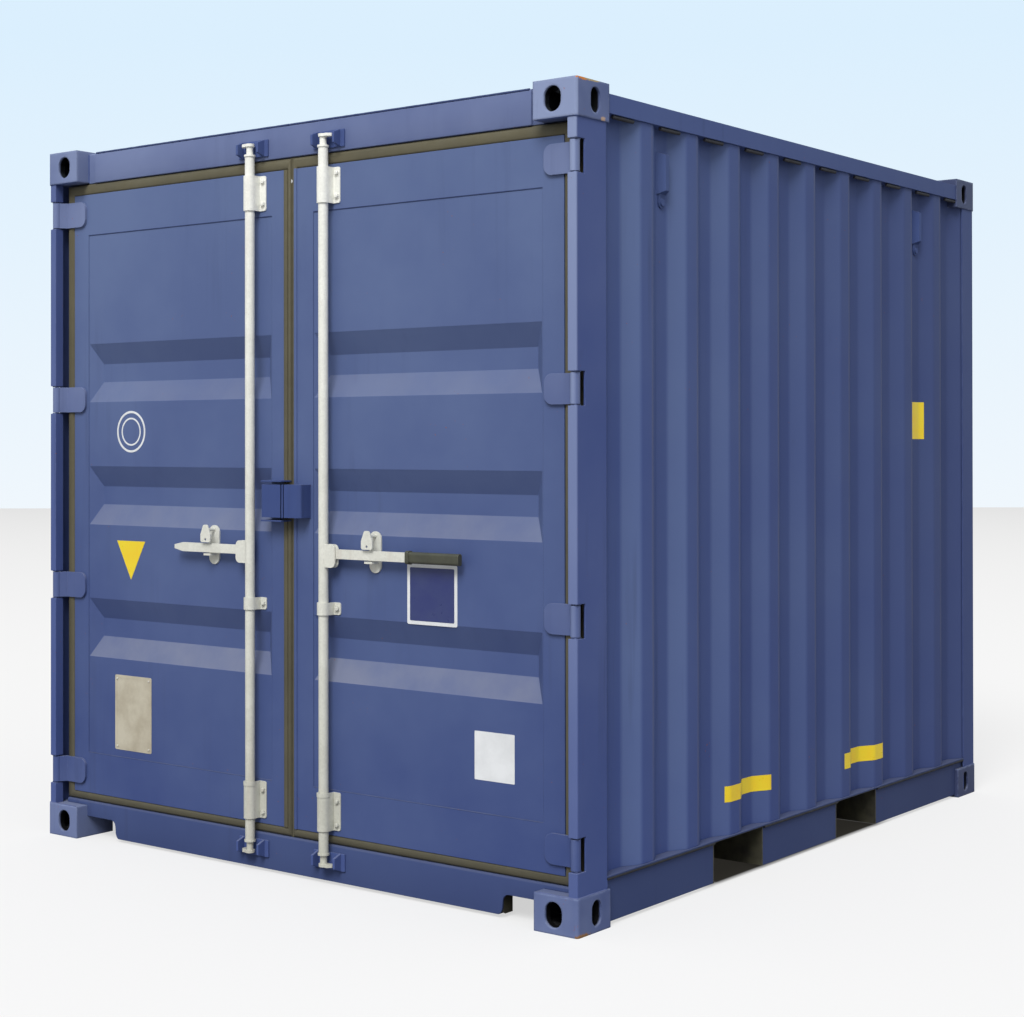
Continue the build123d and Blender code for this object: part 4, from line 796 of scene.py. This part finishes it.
def softened(name, node, width, steps, body):
    """A copy of a sheet metal solid with its folds rounded. Its cut edges stay sharp."""
    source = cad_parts[node]
    shape = bmesh.new()
    shape.from_mesh(source.data)
    bmesh.ops.remove_doubles(shape, verts=shape.verts, dist=1e-5)
    bmesh.ops.dissolve_limit(shape, angle_limit=math.radians(1.0), verts=shape.verts, edges=shape.edges)
    shape.verts.index_update()
    points = [vert.co.copy() for vert in shape.verts]
    faces = [[vert.index for vert in face.verts] for face in shape.faces]
    shape.free()
    piece = mesh_object(name, points, faces, source.material_slots[0].material, 76)
    with editing(piece.data) as shape:
        weight = shape.edges.layers.float.new("bevel_weight_edge")
        for edge in shape.edges:
            if len(edge.link_faces) == 2 and math.radians(8) < edge.calc_face_angle() < math.radians(75):
                edge[weight] = 1.0
    bend = piece.modifiers.new("Bends", "BEVEL")
    bend.limit_method = "WEIGHT"
    bend.width = width
    bend.segments = steps
    bend.harden_normals = True
    data = evaluated(piece)
    piece.modifiers.clear()
    piece.data = data
    return settle(piece, body, node)


def corrugated_line(first, pitch, count, flat, slope, shallow, deep, start, end):
    """Corners of a corrugated sheet's section, as (run, level) pairs."""
    line = [(start, shallow)]
    for index in range(count):
        middle = first + pitch * index
        line += [(middle - flat / 2 - slope, shallow), (middle - flat / 2, deep),
                 (middle + flat / 2, deep), (middle + flat / 2 + slope, shallow)]
    return line + [(end, shallow)]


class CONTAINER_OT_finishes(bpy.types.Operator):
    """Make the finishes and give every solid of the container its own"""

    bl_idname = "container.finishes"
    bl_label = "Paint, zinc and rubber"

    def execute(self, context):
        look, walls = settings().paint, settings().walls
        panel = {"Clouds": 0.18, "Streaks": look.streaks, "Fade": 0.2, "Low": 0.1, "High": 2.5, "Front": 0.0,
                 "Turned": 0.0, "Dim": 0.35, "Dust": 0.35, "Round": 0.003, "Width": 0.003, "Wear": look.wear * 0.35,
                 "Chips": look.chips * 0.6, "Stains": 0.15, "Gloss": 0.5, "Waves": 0.6, "Shine": 0.05}
        # Doors: their paler tops and pale upward slopes are partly sun fade and dust, partly painted light from above.
        door = dict(panel, Clouds=0.25, Fade=0.65, Streaks=look.streaks * 0.7, Dust=0.85, Shine=0.25)
        # Header: paler at the top, partly sun fade and partly painted top light.
        header = dict(door, Fade=0.36, Clouds=0.2, Low=2.3)
        # Posts and hinges: a painted highlight on their door-end faces, in the worn colour.
        post = dict(panel, Clouds=0.1, Fade=0.05, Wear=look.wear, Front=0.9)
        hinge = dict(post, Clouds=0.2, Fade=0.5, Round=0.002, Waves=0.1)
        # Castings: a painted highlight on their door-end faces and painted shade towards the closed end.
        casting = dict(panel, Clouds=0.5, Fade=0.14, Round=0.009, Width=0.013, Wear=look.wear * 1.3,
                       Chips=look.chips * 1.3, Stains=0.75, Waves=0.3, Front=0.85, Dim=0.7, Shine=0.15)
        small = dict(panel, Round=0.002, Wear=look.wear * 0.5, Waves=0.1, Dim=0.0)
        crest = DOOR_END + walls.first_side - walls.side_flat / 2 - walls.side_slope - 0.004 - walls.side_pitch / 2
        # Pale grey painted highlight along each crest of the side walls.
        crests = (crest, walls.side_pitch, srgb(104, 104, 112), 0.4)
        for label, name, paint, faded, values, extras in (
                ("panel_blue", "Panel paint", look.wall_paint, look.faded, panel, {}),
                # Side walls: painted light on the folds that face the doors and painted shade towards the closed end.
                ("wall_blue", "Wall paint", look.wall_paint, look.faded,
                 dict(panel, Turned=0.5, Dim=0.45, Dust=0.12), {"crests": crests}),
                ("rail_blue", "Rail paint", look.low_paint, look.faded,
                 dict(panel, Fade=0.0, Clouds=0.1, Dust=0.2), {}),
                ("header_blue", "Header paint", look.paint, look.worn, header, {}),
                ("door_blue", "Door paint", look.paint, look.faded, door, {}),
                ("post_blue", "Post paint", look.wall_paint, look.worn, post, {}),
                ("hinge_blue", "Hinge paint", look.paint, look.worn, hinge, {}),
                ("fitting_blue", "Casting paint", look.paint, look.worn, casting,
                 {"patches": CASTING_SPOTS, "hollow": CASTING_HOLLOW}),
                ("box_blue", "Box paint", look.paint, look.faded, small, {}),
                ("vent_plastic", "Vent paint", look.paint, look.faded, small, {})):
            FINISH[label] = painted_steel(name, paint, faded, values, **extras)
        for label, name, base, faded, dirt, kind in (
                ("underseal", "Underseal", look.underseal, srgb(70, 68, 52), srgb(60, 56, 42), PLASTIC),
                ("seal_rubber", "Seal", look.rubber, look.pale_rubber, srgb(120, 112, 86), RUBBER),
                ("sealant", "Rail sealant", look.sealant, srgb(44, 42, 46), srgb(60, 58, 56), RUBBER),
                ("grip_plastic", "Grip plastic", look.plastic, srgb(78, 78, 62), srgb(120, 118, 100), PLASTIC)):
            FINISH[label] = plain_coat(name, base, faded, dirt, **kind)
        FINISH["galvanised"] = zinc_coated("Zinc coat", look.zinc, look.dull_zinc, look.rust)
        FINISH["plywood"] = floor_boards("Floor boards", look.wood, srgb(96, 62, 38), 1.16)
        for label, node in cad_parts.items():
            for place in node.material_slots:
                name = SPECIAL_COATS.get(label.removesuffix("_right").removesuffix("_left"))
                name = name or place.material.name.split(".")[0]
                if name not in FINISH:
                    raise RuntimeError(f"{node.name} has a finish without a material: {name}")
                place.material = FINISH[name]
        return {"FINISHED"}


class CONTAINER_OT_walls(bpy.types.Operator):
    """Fold the corrugated side walls and the end wall with rounded bends"""

    bl_idname = "container.walls"
    bl_label = "Corrugated walls"

    def execute(self, context):
        size = settings().walls
        low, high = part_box("side_wall_right")
        line = corrugated_line(DOOR_END + size.first_side, size.side_pitch, size.side_count, size.side_flat,
                               size.side_slope, low.y, low.y + size.side_depth, low.x, high.x)
        for side, sign in SIDES.items():
            folded_wall("wall_sheet_" + side, [(x, -sign * y) for x, y in line], "side_wall_" + side, size.side_bend,
                        -sign * size.sheet)
        low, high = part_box("end_wall")
        line = corrugated_line(-size.end_pitch * (size.end_count - 1) / 2, size.end_pitch, size.end_count,
                               size.end_flat, size.end_slope, high.x, high.x - size.end_depth, low.y, high.y)
        folded_wall("wall_sheet_end", [(x, y) for y, x in line], "end_wall", size.end_bend, size.sheet)
        return {"FINISHED"}


class CONTAINER_OT_pressings(bpy.types.Operator):
    """Round the folds of the door panels and of the roof"""

    bl_idname = "container.pressings"
    bl_label = "Pressed panels"

    def execute(self, context):
        size = settings().walls
        for side in SIDES:
            softened("door_sheet_" + side, "door_panel_" + side, size.panel_bend, 4, "door_" + side)
        softened("roof_sheet", "roof_panel", size.roof_bend, 3, "frame")
        return {"FINISHED"}


class CONTAINER_OT_end_frame(bpy.types.Operator):
    """Fold the header and the sill of the door end with rounded edges and set-back ends"""

    bl_idname = "container.end_frame"
    bl_label = "Header and sill"

    def header_loop(self, y, front, back):
        """The header's section at one place along it."""
        loop = [(back, y, HEADER_LOW), (back, y, HEADER_TOP)]
        for z, turn, radius in HEADER_ROUNDS:
            for step in range(4):
                angle = math.pi / 2 * (turn + 1 + step / 3)
                middle = z + radius if turn else z - radius
                loop.append((front + radius + radius * math.cos(angle), y, middle + radius * math.sin(angle)))
        return loop

    def sill_loop(self, y, edge, foot):
        """The sill's folded section at one place along it; edge is the height of its lower edge there."""
        low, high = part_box("door_sill")
        front, riser, plate = low.x, high.x - SILL_PLATE, SILL_PLATE
        section = [(front, edge), (front, SILL_TOP - 0.006), (front + 0.002, SILL_TOP - 0.0018),
                   (front + 0.006, SILL_TOP), (riser, SILL_TOP), (riser, high.z), (high.x, high.z),
                   (high.x, SILL_TOP - plate), (front + plate, SILL_TOP - plate), (front + plate, edge + plate),
                   (front + foot, edge + plate), (front + foot, edge)]
        return [(x, y, z) for x, z in section]

    def execute(self, context):
        low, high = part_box("door_header")
        stops = ((0.0, HEADER_END_SETBACK), (0.042, HEADER_END_SETBACK), (0.043, 0.0))
        runs = [(low.y + inward, setback) for inward, setback in stops]
        runs += [(high.y - inward, setback) for inward, setback in stops[::-1]]
        loops = [self.header_loop(y, low.x + setback, high.x) for y, setback in runs]
        dress("header_box", lofted(loops), "header_blue", "frame", angle=35, node="door_header")

        low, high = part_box("door_sill")
        over_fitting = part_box("bottom_corner_fittings")[1].z + 0.0005
        half = ((1.1700, over_fitting), (high.y + 0.001, over_fitting), (high.y, NOTCH_TOP), (0.922, NOTCH_TOP),
                (0.911, NOTCH_TOP - 0.003), (0.903, NOTCH_TOP - 0.011), (0.900, NOTCH_TOP - 0.022), (0.898, 0.032),
                (0.893, 0.019), (0.884, low.z))
        half = [(y, edge, SILL_PLATE) for y, edge in half] + [(0.8835, low.z, SILL_FOOT)]
        loops = [self.sill_loop(-y, edge, foot) for y, edge, foot in half]
        loops += [self.sill_loop(*run) for run in half[::-1]]
        dress("sill_fold", lofted(loops), "rail_blue", "frame", angle=35, node="door_sill")
        front, back, top = low.x + SILL_PLATE, low.x + SILL_FOOT, SILL_TOP - 0.0065
        outline = [(front, top), (front, 0.028), (front + 0.004, 0.018), (front + 0.014, 0.0125), (back, 0.0125),
                   (back, top)]
        # The sill's return plates take the dark underseal as painted shade under the sill.
        for side, sign in SIDES.items():
            dress("sill_return_" + side, along_y(outline, (sign * 0.8925, sign * 0.8965)), "underseal", "frame")
        return {"FINISHED"}


class CONTAINER_OT_seals(bpy.types.Operator):
    """Shape the rubber seal round each door, with the flaps and strips between the doors"""

    bl_idname = "container.seals"
    bl_label = "Door seals"

    # Share of the way from the leaf's edge to the seal's outer edge, and depth behind the seal's front.
    section = ((0.0, 0.004), (0.06, 0.0), (0.18, -0.0032), (0.34, -0.0052), (0.5, -0.0058), (0.66, -0.0050),
               (0.8, -0.0030), (0.92, 0.0), (1.0, 0.0045), (0.97, 0.0065), (0.55, 0.0085), (0.5, 0.012),
               (0.5, 0.034), (0.55, 0.0375), (0.97, 0.0395), (1.0, 0.0425), (0.96, 0.046), (0.0, 0.046))

    def flap(self, root, tip, run, front, sign):
        """A tapered rubber flap that leaves the seal's edge at the root and ends round at the tip."""
        reach = tip - root
        profile = [(root, front + 0.009), (root, front), (root + reach * 0.7, front - 0.0012)]
        for step in range(5):
            angle = math.pi * (step / 4 - 0.5)
            profile.append((tip - reach * 0.2 * (1 - math.cos(angle)), front + 0.0035 + 0.0045 * math.sin(angle)))
        profile.append((root + reach * 0.7, front + 0.008))
        return lofted([[(depth, sign * level, height) for level, depth in profile] for height in run])

    def ring(self, low, high, leaf_low, leaf_high):
        """The seal's body round one door: a hollow-backed section from the leaf's edge to the seal's outer edge."""
        loops = []
        for y, leaf_y, z, leaf_z in ((low.y, leaf_low.y, SEAL_FOOT, leaf_low.z),
                                     (high.y, leaf_high.y, SEAL_FOOT, leaf_low.z),
                                     (high.y, leaf_high.y, high.z, leaf_high.z),
                                     (low.y, leaf_low.y, high.z, leaf_high.z)):
            loops.append([(low.x + depth, leaf_y + (y - leaf_y) * share, leaf_z + (z - leaf_z) * share)
                          for share, depth in self.section])
        return lofted(loops, True)

    def strip(self, near, far, face, run):
        """A shallow strip between two levels of Y, which rises from its face to a rounded ridge."""
        profile = [(near, 0.0065), (near + 0.0004, 0.0), (near + 0.0022, -0.0014), ((near + far) / 2, -0.0019),
                   (far - 0.0022, -0.0014), (far - 0.0004, 0.0), (far, 0.0065)]
        return lofted([[(face + depth, y, z) for y, depth in profile] for z in run])

    def execute(self, context):
        box_low, box_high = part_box("lock_box_right")
        box_section = [(box_low.x, box_low.z), (box_low.x, box_high.z), (box_high.x, box_high.z),
                       (box_high.x, box_high.z - 0.0048), (box_low.x + 0.0048, box_high.z - 0.0048),
                       (box_low.x + 0.0048, box_low.z)]
        for side, sign in SIDES.items():
            body = "door_" + side
            low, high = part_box("door_gasket_" + side)
            leaf_low, leaf_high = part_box("door_frame_" + side)
            dress("seal_ring_" + side, self.ring(low, high, leaf_low, leaf_high), "seal_rubber", body,
                  40, "door_gasket_" + side)
            edge = min(abs(low.y), abs(high.y))
            if side == "right":
                reach, strip, ends = 0.0055, (-0.0222, -0.0092, low.x - 0.0052), (-0.008, 0.001)
                finish, slot = "door_blue", "panel_blue"
            else:
                reach, strip, ends = 0.002, (0.0215, 0.0385, leaf_low.x - 0.0022), (0.0025, 0.008)
                finish, slot = "seal_rubber", "seal_rubber"
            dress("seal_middle_" + side, self.flap(edge + 0.0005, edge - reach, (SEAL_FOOT, high.z), low.x, sign),
                  "seal_rubber", body, 50)
            dress("middle_strip_" + side, self.strip(*strip, (leaf_low.z, leaf_high.z)), finish, body, 50)
            dress("box_tongue_" + side, along_y(box_section, ends), "box_blue", body)
        return {"FINISHED"}


class CONTAINER_OT_fixings(bpy.types.Operator):
    """Add bolts to the bar guides and screws to the floor"""

    bl_idname = "container.fixings"
    bl_label = "Bolts and screws"

    def execute(self, context):
        sizes = settings().fixings
        for side, sign in SIDES.items():
            low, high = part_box("bar_guides_" + side)
            levels = [(low.z + 0.020, GUIDE_BOLT_X), (low.z + 0.098, GUIDE_BOLT_X), MIDDLE_GUIDE_BOLT,
                      (high.z - 0.020, GUIDE_BOLT_X), (high.z - 0.098, GUIDE_BOLT_X)]
            points = [(x, sign * BAR_OFFSET + reach, level) for level, x in levels
                      for reach in (-GUIDE_BOLT_REACH, GUIDE_BOLT_REACH)]
            heads("guide_bolts_" + side, points, "door_" + side, sizes.bolt_radius, sizes.bolt_height, 6,
                  FACING_DOORS)
        low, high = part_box("plywood_floor")
        margin, along, across = 0.06, 10, 9
        screws = [(low.x + margin + (high.x - low.x - 2 * margin) * i / (along - 1),
                   low.y + margin + (high.y - low.y - 2 * margin) * j / (across - 1), high.z)
                  for i in range(along) for j in range(across)]
        heads("floor_screws", screws, "frame", sizes.screw_radius, 0.0012, 12, FACING_UP, FLAT_WASHER)
        return {"FINISHED"}


class CONTAINER_OT_door_labels(bpy.types.Operator):
    """Add the blank plate, stickers, triangle and ring of the doors"""

    bl_idname = "container.door_labels"
    bl_label = "Blank plates on the doors"

    plate_outline = (0.709, 0.906, 0.346, 0.624, 0.006)
    # Corners of the plate's raised rim with the sides that they face, and the rim's section as (reach, rise).
    rim_corners = ((0.715, 0.352, -1, -1), (0.900, 0.352, 1, -1), (0.900, 0.618, 1, 1), (0.715, 0.618, -1, 1))
    rim_section = ((0.0, 0.0), (-0.004, 0.0), (-0.005, 0.0006), (0.0, 0.0006))
    rivet_levels = ((0.7225, 0.8925), (0.3595, 0.6105))
    triangle = ((0.743, 1.124), (0.896, 1.124), (0.8195, 0.981))
    ring_middle, ring_steps = (0.819, 1.5295), 64
    rings = (("ring_outer", 0.077, 0.069), ("ring_inner", 0.052, 0.046))

    def film(self, name, outline, finish, body, thickness, start=0.0):
        """A thin flat sticker with the given outline of (y, z) pairs; start is its rise over the panel."""
        loops = [[(PANEL_FACE - rise, y, z) for y, z in outline] for rise in (start, start + thickness)]
        dress(name, lofted(loops), finish, body)

    def execute(self, context):
        look, sizes = settings().labels, settings().fixings
        for label, name, base, worn, least, metallic in (
                ("white", "White film", look.white, srgb(200, 202, 204), 0.32, 0.0),
                ("yellow", "Yellow film", look.yellow, srgb(232, 190, 30), 0.27, 0.0),
                ("navy", "Navy film", look.navy, srgb(56, 66, 108), 0.27, 0.0),
                ("plate", "Plate metal", look.plate_colour, srgb(168, 156, 134), 0.34, 0.35)):
            FINISH[label] = plain_coat(name, base, worn, worn, rough=(40.0, least, least + 0.2), metallic=metallic,
                                       **FILM)
        self.film("data_plate", rounded_outline(*self.plate_outline), "plate", "door_left", look.plate)
        face = PANEL_FACE - look.plate
        rim = [[(face - rise, y + y_sign * out, z + z_sign * out) for out, rise in self.rim_section]
               for y, z, y_sign, z_sign in self.rim_corners]
        dress("data_plate_rim", lofted(rim, True), "plate", "door_left")
        rivets = [(face, y, z) for y in self.rivet_levels[0] for z in self.rivet_levels[1]]
        heads("plate_rivets", rivets, "door_left", sizes.rivet_radius, sizes.rivet_height, 12, FACING_DOORS,
              FLAT_WASHER)
        self.film("triangle_patch", self.triangle, "yellow", "door_left", look.film)
        y_low, y_high, z_low, z_high = -0.717, -0.510, 0.898, 1.095
        edge = look.border
        for name, outline, finish, side, start in (
                ("white_patch", (-0.943, -0.786, 0.423, 0.577, 0.003), "white", "right", 0.0),
                ("border_patch", (y_low, y_high, z_low, z_high, 0.006), "white", "right", 0.0),
                ("navy_patch", (y_low + edge, y_high - edge, z_low + edge, z_high - edge, 0.004), "navy", "right",
                 look.film),
                ("small_white_dot", (0.0, 0.0134, 2.3803, 2.3937, 0.0067), "white", "left", 0.0)):
            self.film(name, rounded_outline(*outline), finish, "door_" + side, look.film, start)
        y, z = self.ring_middle
        angles = [2 * math.pi * step / self.ring_steps for step in range(self.ring_steps)]
        for name, outer, inner in self.rings:
            loops = [[(PANEL_FACE - rise, y + radius * math.cos(a), z + radius * math.sin(a)) for a in angles]
                     for radius, rise in ((outer, 0.0), (outer, look.film), (inner, look.film), (inner, 0.0))]
            dress(name, lofted(loops, True), "white", "door_left")
        return {"FINISHED"}


class CONTAINER_OT_side_labels(bpy.types.Operator):
    """Lay the plain yellow patches over the right-hand side wall"""

    bl_idname = "container.side_labels"
    bl_label = "Yellow patches on the side"

    def execute(self, context):
        film = settings().labels.film
        wall = bpy.data.objects["wall_sheet_right"].data
        wall.calc_loop_triangles()
        surface = BVHTree.FromPolygons([v.co.copy() for v in wall.vertices],
                                       [tuple(t.vertices) for t in wall.loop_triangles])
        for name, x_low, x_high, z_low, z_high in (("yellow_patch_a", -0.586, -0.280, 0.268, 0.322),
                                                   ("yellow_patch_b", 0.289, 0.630, 0.260, 0.318),
                                                   ("yellow_tag", 0.962, 1.058, 1.500, 1.650)):
            count = int((x_high - x_low) / 0.004)
            loops = []
            for i in range(count + 1):
                x = x_low + (x_high - x_low) * i / count
                start = Vector((x, SOLIDS_LOW.y - 0.05, (z_low + z_high) / 2))
                spot = surface.ray_cast(start, Vector((0, 1, 0)))[0]
                if spot is None:
                    raise RuntimeError(f"{name} has no wall under it")
                near, far = spot.y - 0.0002, spot.y - 0.0002 - film
                loops.append([(x, near, z_low), (x, far, z_low), (x, far, z_high), (x, near, z_high)])
            dress(name, lofted(loops), "yellow", "frame")
        return {"FINISHED"}


class CONTAINER_OT_welds(bpy.types.Operator):
    """Run weld beads and sealant where posts, rails and walls meet"""

    bl_idname = "container.welds"
    bl_label = "Weld beads"

    # Distance of the lines along the posts and under the rails' ledges from the middle plane.
    post_line, ledge_line = 1.2115, 1.2100
    seam_radius, ledge_radius, recess_radius, panel_radius = 0.0046, 0.0072, 0.0075, 0.0028

    def rail_spans(self):
        """The stretches of a bottom side rail between its fork pockets, along X."""
        low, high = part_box("bottom_side_rail_right")
        pocket_low, pocket_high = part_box("fork_pockets")
        width = settings().walls.pocket_width
        return ((low.x + 0.004, pocket_low.x), (pocket_low.x + width, pocket_high.x - width),
                (pocket_high.x, high.x - 0.004))

    def frame_lines(self, rail_low, rail_high, wall_top, header_low, header_high):
        """Where the corner fittings, the posts and the header meet their neighbours."""
        low, high, inset = SOLIDS_LOW, SOLIDS_HIGH, 0.004
        post_back, rear_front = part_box("door_post_right")[1].x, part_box("rear_post_right")[0].x
        for sign in SIDES.values():
            side_y = sign * (high.y - inset)
            for z in (FITTING_HEIGHT, high.z - FITTING_HEIGHT):
                for x, across, end in ((low.x + inset, 0.150, low.x + 0.155), (high.x - inset, 0.110, high.x - 0.102)):
                    yield [(x, sign * (high.y - across), z), (x, side_y, z), (end, side_y, z)]
            post_y = -sign * (rail_low.y + 0.002)
            for x in (post_back - 0.001, rear_front + 0.001):
                yield [(x, sign * self.post_line, z) for z in (0.160, wall_top - inset)]
            for x in (post_back, rear_front):
                yield [(x, post_y, rail_low.z + 0.01), (x, post_y, rail_high.z - 0.01)]
            yield [(header_low.x + 0.007, sign * (header_high.y - 0.001), z)
                   for z in (HEADER_LOW + inset, HEADER_TOP - inset)]

    def execute(self, context):
        walls = settings().walls
        header_low, header_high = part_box("door_header")
        rail_low, rail_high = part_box("bottom_side_rail_right")
        wall_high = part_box("side_wall_right")[1]
        lines = list(self.frame_lines(rail_low, rail_high, wall_high.z, header_low, header_high))
        welds("frame_welds", lines, "frame", "panel_blue")
        # A bead along the header's top front edge in the darker rail paint: a seam, and painted shade along that edge.
        seam = [(header_low.x + 0.0018, y, HEADER_TOP - 0.0015)
                for y in (header_low.y + 0.05, header_high.y - 0.05)]
        welds("header_seam", [seam], "frame", "rail_blue", self.seam_radius)
        # A dark bead just under each bottom rail's ledge.
        under_ledge = [[(x, sign * self.ledge_line, rail_high.z - 0.0078) for x in span]
                       for sign in SIDES.values() for span in self.rail_spans()]
        welds("rail_sealant", under_ledge, "frame", "sealant", self.ledge_radius)
        # Dark beads under the top rail in each side recess: painted shade where the recess meets the rail.
        reach = walls.side_flat / 2 + walls.side_slope * 0.35
        middles = [DOOR_END + walls.first_side + walls.side_pitch * index for index in range(walls.side_count)]
        under_rail = [[(middle + share * reach, sign * (wall_high.y - walls.side_depth - 0.0005),
                        wall_high.z - self.recess_radius) for share in (-1, 0, 1)]
                      for sign in SIDES.values() for middle in middles]
        welds("recess_sealant", under_rail, "frame", "sealant", self.recess_radius)
        for side in SIDES:
            low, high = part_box("door_panel_" + side)
            lines = [[(PANEL_FACE - 0.0004, y, z) for y in (low.y + 0.002, high.y - 0.002)]
                     for z in (low.z - 0.0015, high.z + 0.0005)]
            welds("panel_welds_" + side, lines, "door_" + side, "rail_blue", self.panel_radius)
        return {"FINISHED"}


class CONTAINER_OT_stage(bpy.types.Operator):
    """Set the pale floor, the backdrop, the soft light and the photograph's view"""

    bl_idname = "container.stage"
    bl_label = "Floor, light and camera"

    far_edge, half_width = 41.8, 60.0
    # Where the painted shadow under the container starts and is full, from the middle planes.
    shadow_x, shadow_y = (0.72, 0.60), (1.205, 1.175)
    # The camera's yaw, pitch and roll in degrees.
    aim = (38.535, 0.298, 0.061)
    focal_length, shift = 65.07, (0.0679, -0.0744)
    sun_side, sun_spread = (-0.66, -0.27, 0.74), 30.0

    def add_floor(self, look, eye, level):
        """A pale floor that darkens towards its far edge and under the container, and shows as it is written."""
        aside = Vector((level.y, -level.x, 0.0))
        corners = [eye + level * forward + aside * sideways for forward, sideways in (
            (self.far_edge, self.half_width), (self.far_edge, -self.half_width),
            (-self.half_width, -self.half_width), (-self.half_width, self.half_width))]
        graph = Finish("Floor paint")
        place = graph.place()
        along = graph.vectors("DOT_PRODUCT", place, tuple(level))["Value"]
        far = graph.remap(graph.minus(along, eye.dot(level)), 6.0, self.far_edge)
        speck = graph.remap(graph.noise(place, 90.0, 3.0), 0.3, 0.7, 0.0, 0.012)
        tone = graph.blend(speck, graph.blend(far, look.floor, look.floor_far), (0.5, 0.5, 0.5))
        # Painted shadow: the floor turns nearly black under the container.
        x, y = graph.split(graph.vectors("ABSOLUTE", place)[0])[:2]
        under = graph.times(graph.remap(x, *self.shadow_x), graph.remap(y, *self.shadow_y))
        tone = graph.blend(under, tone, (0.03, 0.028, 0.024))
        seen = graph.add("ShaderNodeLightPath").outputs["Is Camera Ray"]
        shader = graph.shader
        graph.feed(shader, {"Base Color": graph.blend(seen, (look.bounce,) * 3, tone), "Roughness": 0.9,
                            "Specular IOR Level": 0.0})
        glow = graph.add("ShaderNodeEmission", {"Color": tone, "Strength": 1.0}).outputs[0]
        mix = graph.add("ShaderNodeMixShader", {0: graph.times(seen, 0.7), 1: shader.outputs[0], 2: glow})
        graph.feed(graph.tree.nodes["Material Output"], {"Surface": mix.outputs[0]})
        floor = mesh_object("floor", [(c.x, c.y, 0.0) for c in corners], [(0, 1, 2, 3)], graph.material)
        if floor.data.polygons[0].normal.z < 0:
            floor.data.flip_normals()

    def add_sky(self, look, scene):
        """Even white light, behind a pale blue backdrop that only shows to the camera and in reflections."""
        scene.world = bpy.data.worlds.new("Soft sky")
        scene.world.use_nodes = True
        graph = Graph(scene.world.node_tree)
        rays = graph.add("ShaderNodeLightPath").outputs
        seen = graph.math("MAXIMUM", rays["Is Glossy Ray"], rays["Is Transmission Ray"])
        seen = graph.math("MAXIMUM", rays["Is Camera Ray"], seen)
        rise = graph.split(graph.add("ShaderNodeTexCoord").outputs["Generated"])[2]
        backdrop = graph.blend(graph.remap(rise, -0.04, 0.21), look.sky_low, look.sky_high)
        shown = graph.add("ShaderNodeBackground", {"Color": backdrop, "Strength": 1.0}).outputs[0]
        lit = graph.add("ShaderNodeBackground", {"Color": (1.0, 1.0, 1.0), "Strength": look.light}).outputs[0]
        mix = graph.add("ShaderNodeMixShader", {0: seen, 1: lit, 2: shown}).outputs[0]
        out = [node for node in graph.tree.nodes if node.type == "OUTPUT_WORLD"][0]
        graph.feed(out, {"Surface": mix})

    def execute(self, context):
        look = settings().stage
        eye = Vector(look.eye)
        yaw, pitch, roll = (math.radians(angle) for angle in self.aim)
        ahead = Vector((math.cos(pitch) * math.cos(yaw), math.cos(pitch) * math.sin(yaw), math.sin(pitch)))
        self.add_floor(look, eye, Vector((math.cos(yaw), math.sin(yaw), 0.0)))
        self.add_sky(look, context.scene)

        lamp = bpy.data.lights.new("Main light", "SUN")
        lamp.energy = look.sun
        lamp.angle = math.radians(self.sun_spread)
        sun = new_object("Main light", lamp)
        sun.rotation_mode = "QUATERNION"
        sun.rotation_quaternion = Vector(self.sun_side).to_track_quat("Z", "Y")

        lens = bpy.data.cameras.new("Photograph view")
        lens.sensor_fit = "HORIZONTAL"
        lens.sensor_width = 36.0
        lens.lens = self.focal_length
        lens.shift_x, lens.shift_y = self.shift
        lens.clip_end = 500.0
        camera = new_object("Photograph view", lens)
        camera.location = eye
        camera.rotation_mode = "QUATERNION"
        camera.rotation_quaternion = Matrix.Rotation(roll, 4, ahead).to_quaternion() @ ahead.to_track_quat("-Z", "Y")
        context.scene.camera = camera
        context.scene.view_settings.view_transform = "Standard"
        return {"FINISHED"}


class ContainerSettings(bpy.types.PropertyGroup):
    """All the container's settings."""

    paint: PointerProperty(type=PaintSettings)
    walls: PointerProperty(type=WallSettings)
    fixings: PointerProperty(type=FixingSettings)
    labels: PointerProperty(type=LabelSettings)
    stage: PointerProperty(type=StageSettings)


STEPS = (CONTAINER_OT_finishes, CONTAINER_OT_walls, CONTAINER_OT_pressings, CONTAINER_OT_end_frame,
         CONTAINER_OT_seals, CONTAINER_OT_fixings, CONTAINER_OT_door_labels, CONTAINER_OT_side_labels,
         CONTAINER_OT_welds, CONTAINER_OT_stage)


class CONTAINER_PT_sidebar(bpy.types.Panel):
    """Lists the steps that dress the container and the settings that they read"""

    bl_label = "Container"
    bl_idname = "CONTAINER_PT_sidebar"
    bl_space_type = "VIEW_3D"
    bl_region_type = "UI"
    bl_category = "Container"

    def draw(self, context):
        layout = self.layout
        chosen = context.scene.container
        for title in ContainerSettings.__annotations__:
            box = layout.box()
            box.label(text=title.capitalize())
            group = getattr(chosen, title)
            for name in group.__annotations__:
                box.prop(group, name)
        for step in STEPS:
            layout.operator(step.bl_idname)


CLASSES = (PaintSettings, WallSettings, FixingSettings, LabelSettings, StageSettings, ContainerSettings, *STEPS,
           CONTAINER_PT_sidebar)


def register():
    """Adds the settings, the steps and the panel."""
    for item in CLASSES:
        bpy.utils.register_class(item)
    bpy.types.Scene.container = PointerProperty(type=ContainerSettings)


def unregister():
    """Takes the settings, the steps and the panel away."""
    del bpy.types.Scene.container
    for item in reversed(CLASSES):
        bpy.utils.unregister_class(item)


def main():
    """Dresses the container step by step and writes how large it is before and after."""
    register()
    for step in STEPS:
        group, name = step.bl_idname.split(".")
        getattr(getattr(bpy.ops, group), name)()


if __name__ == "__main__":
    main()
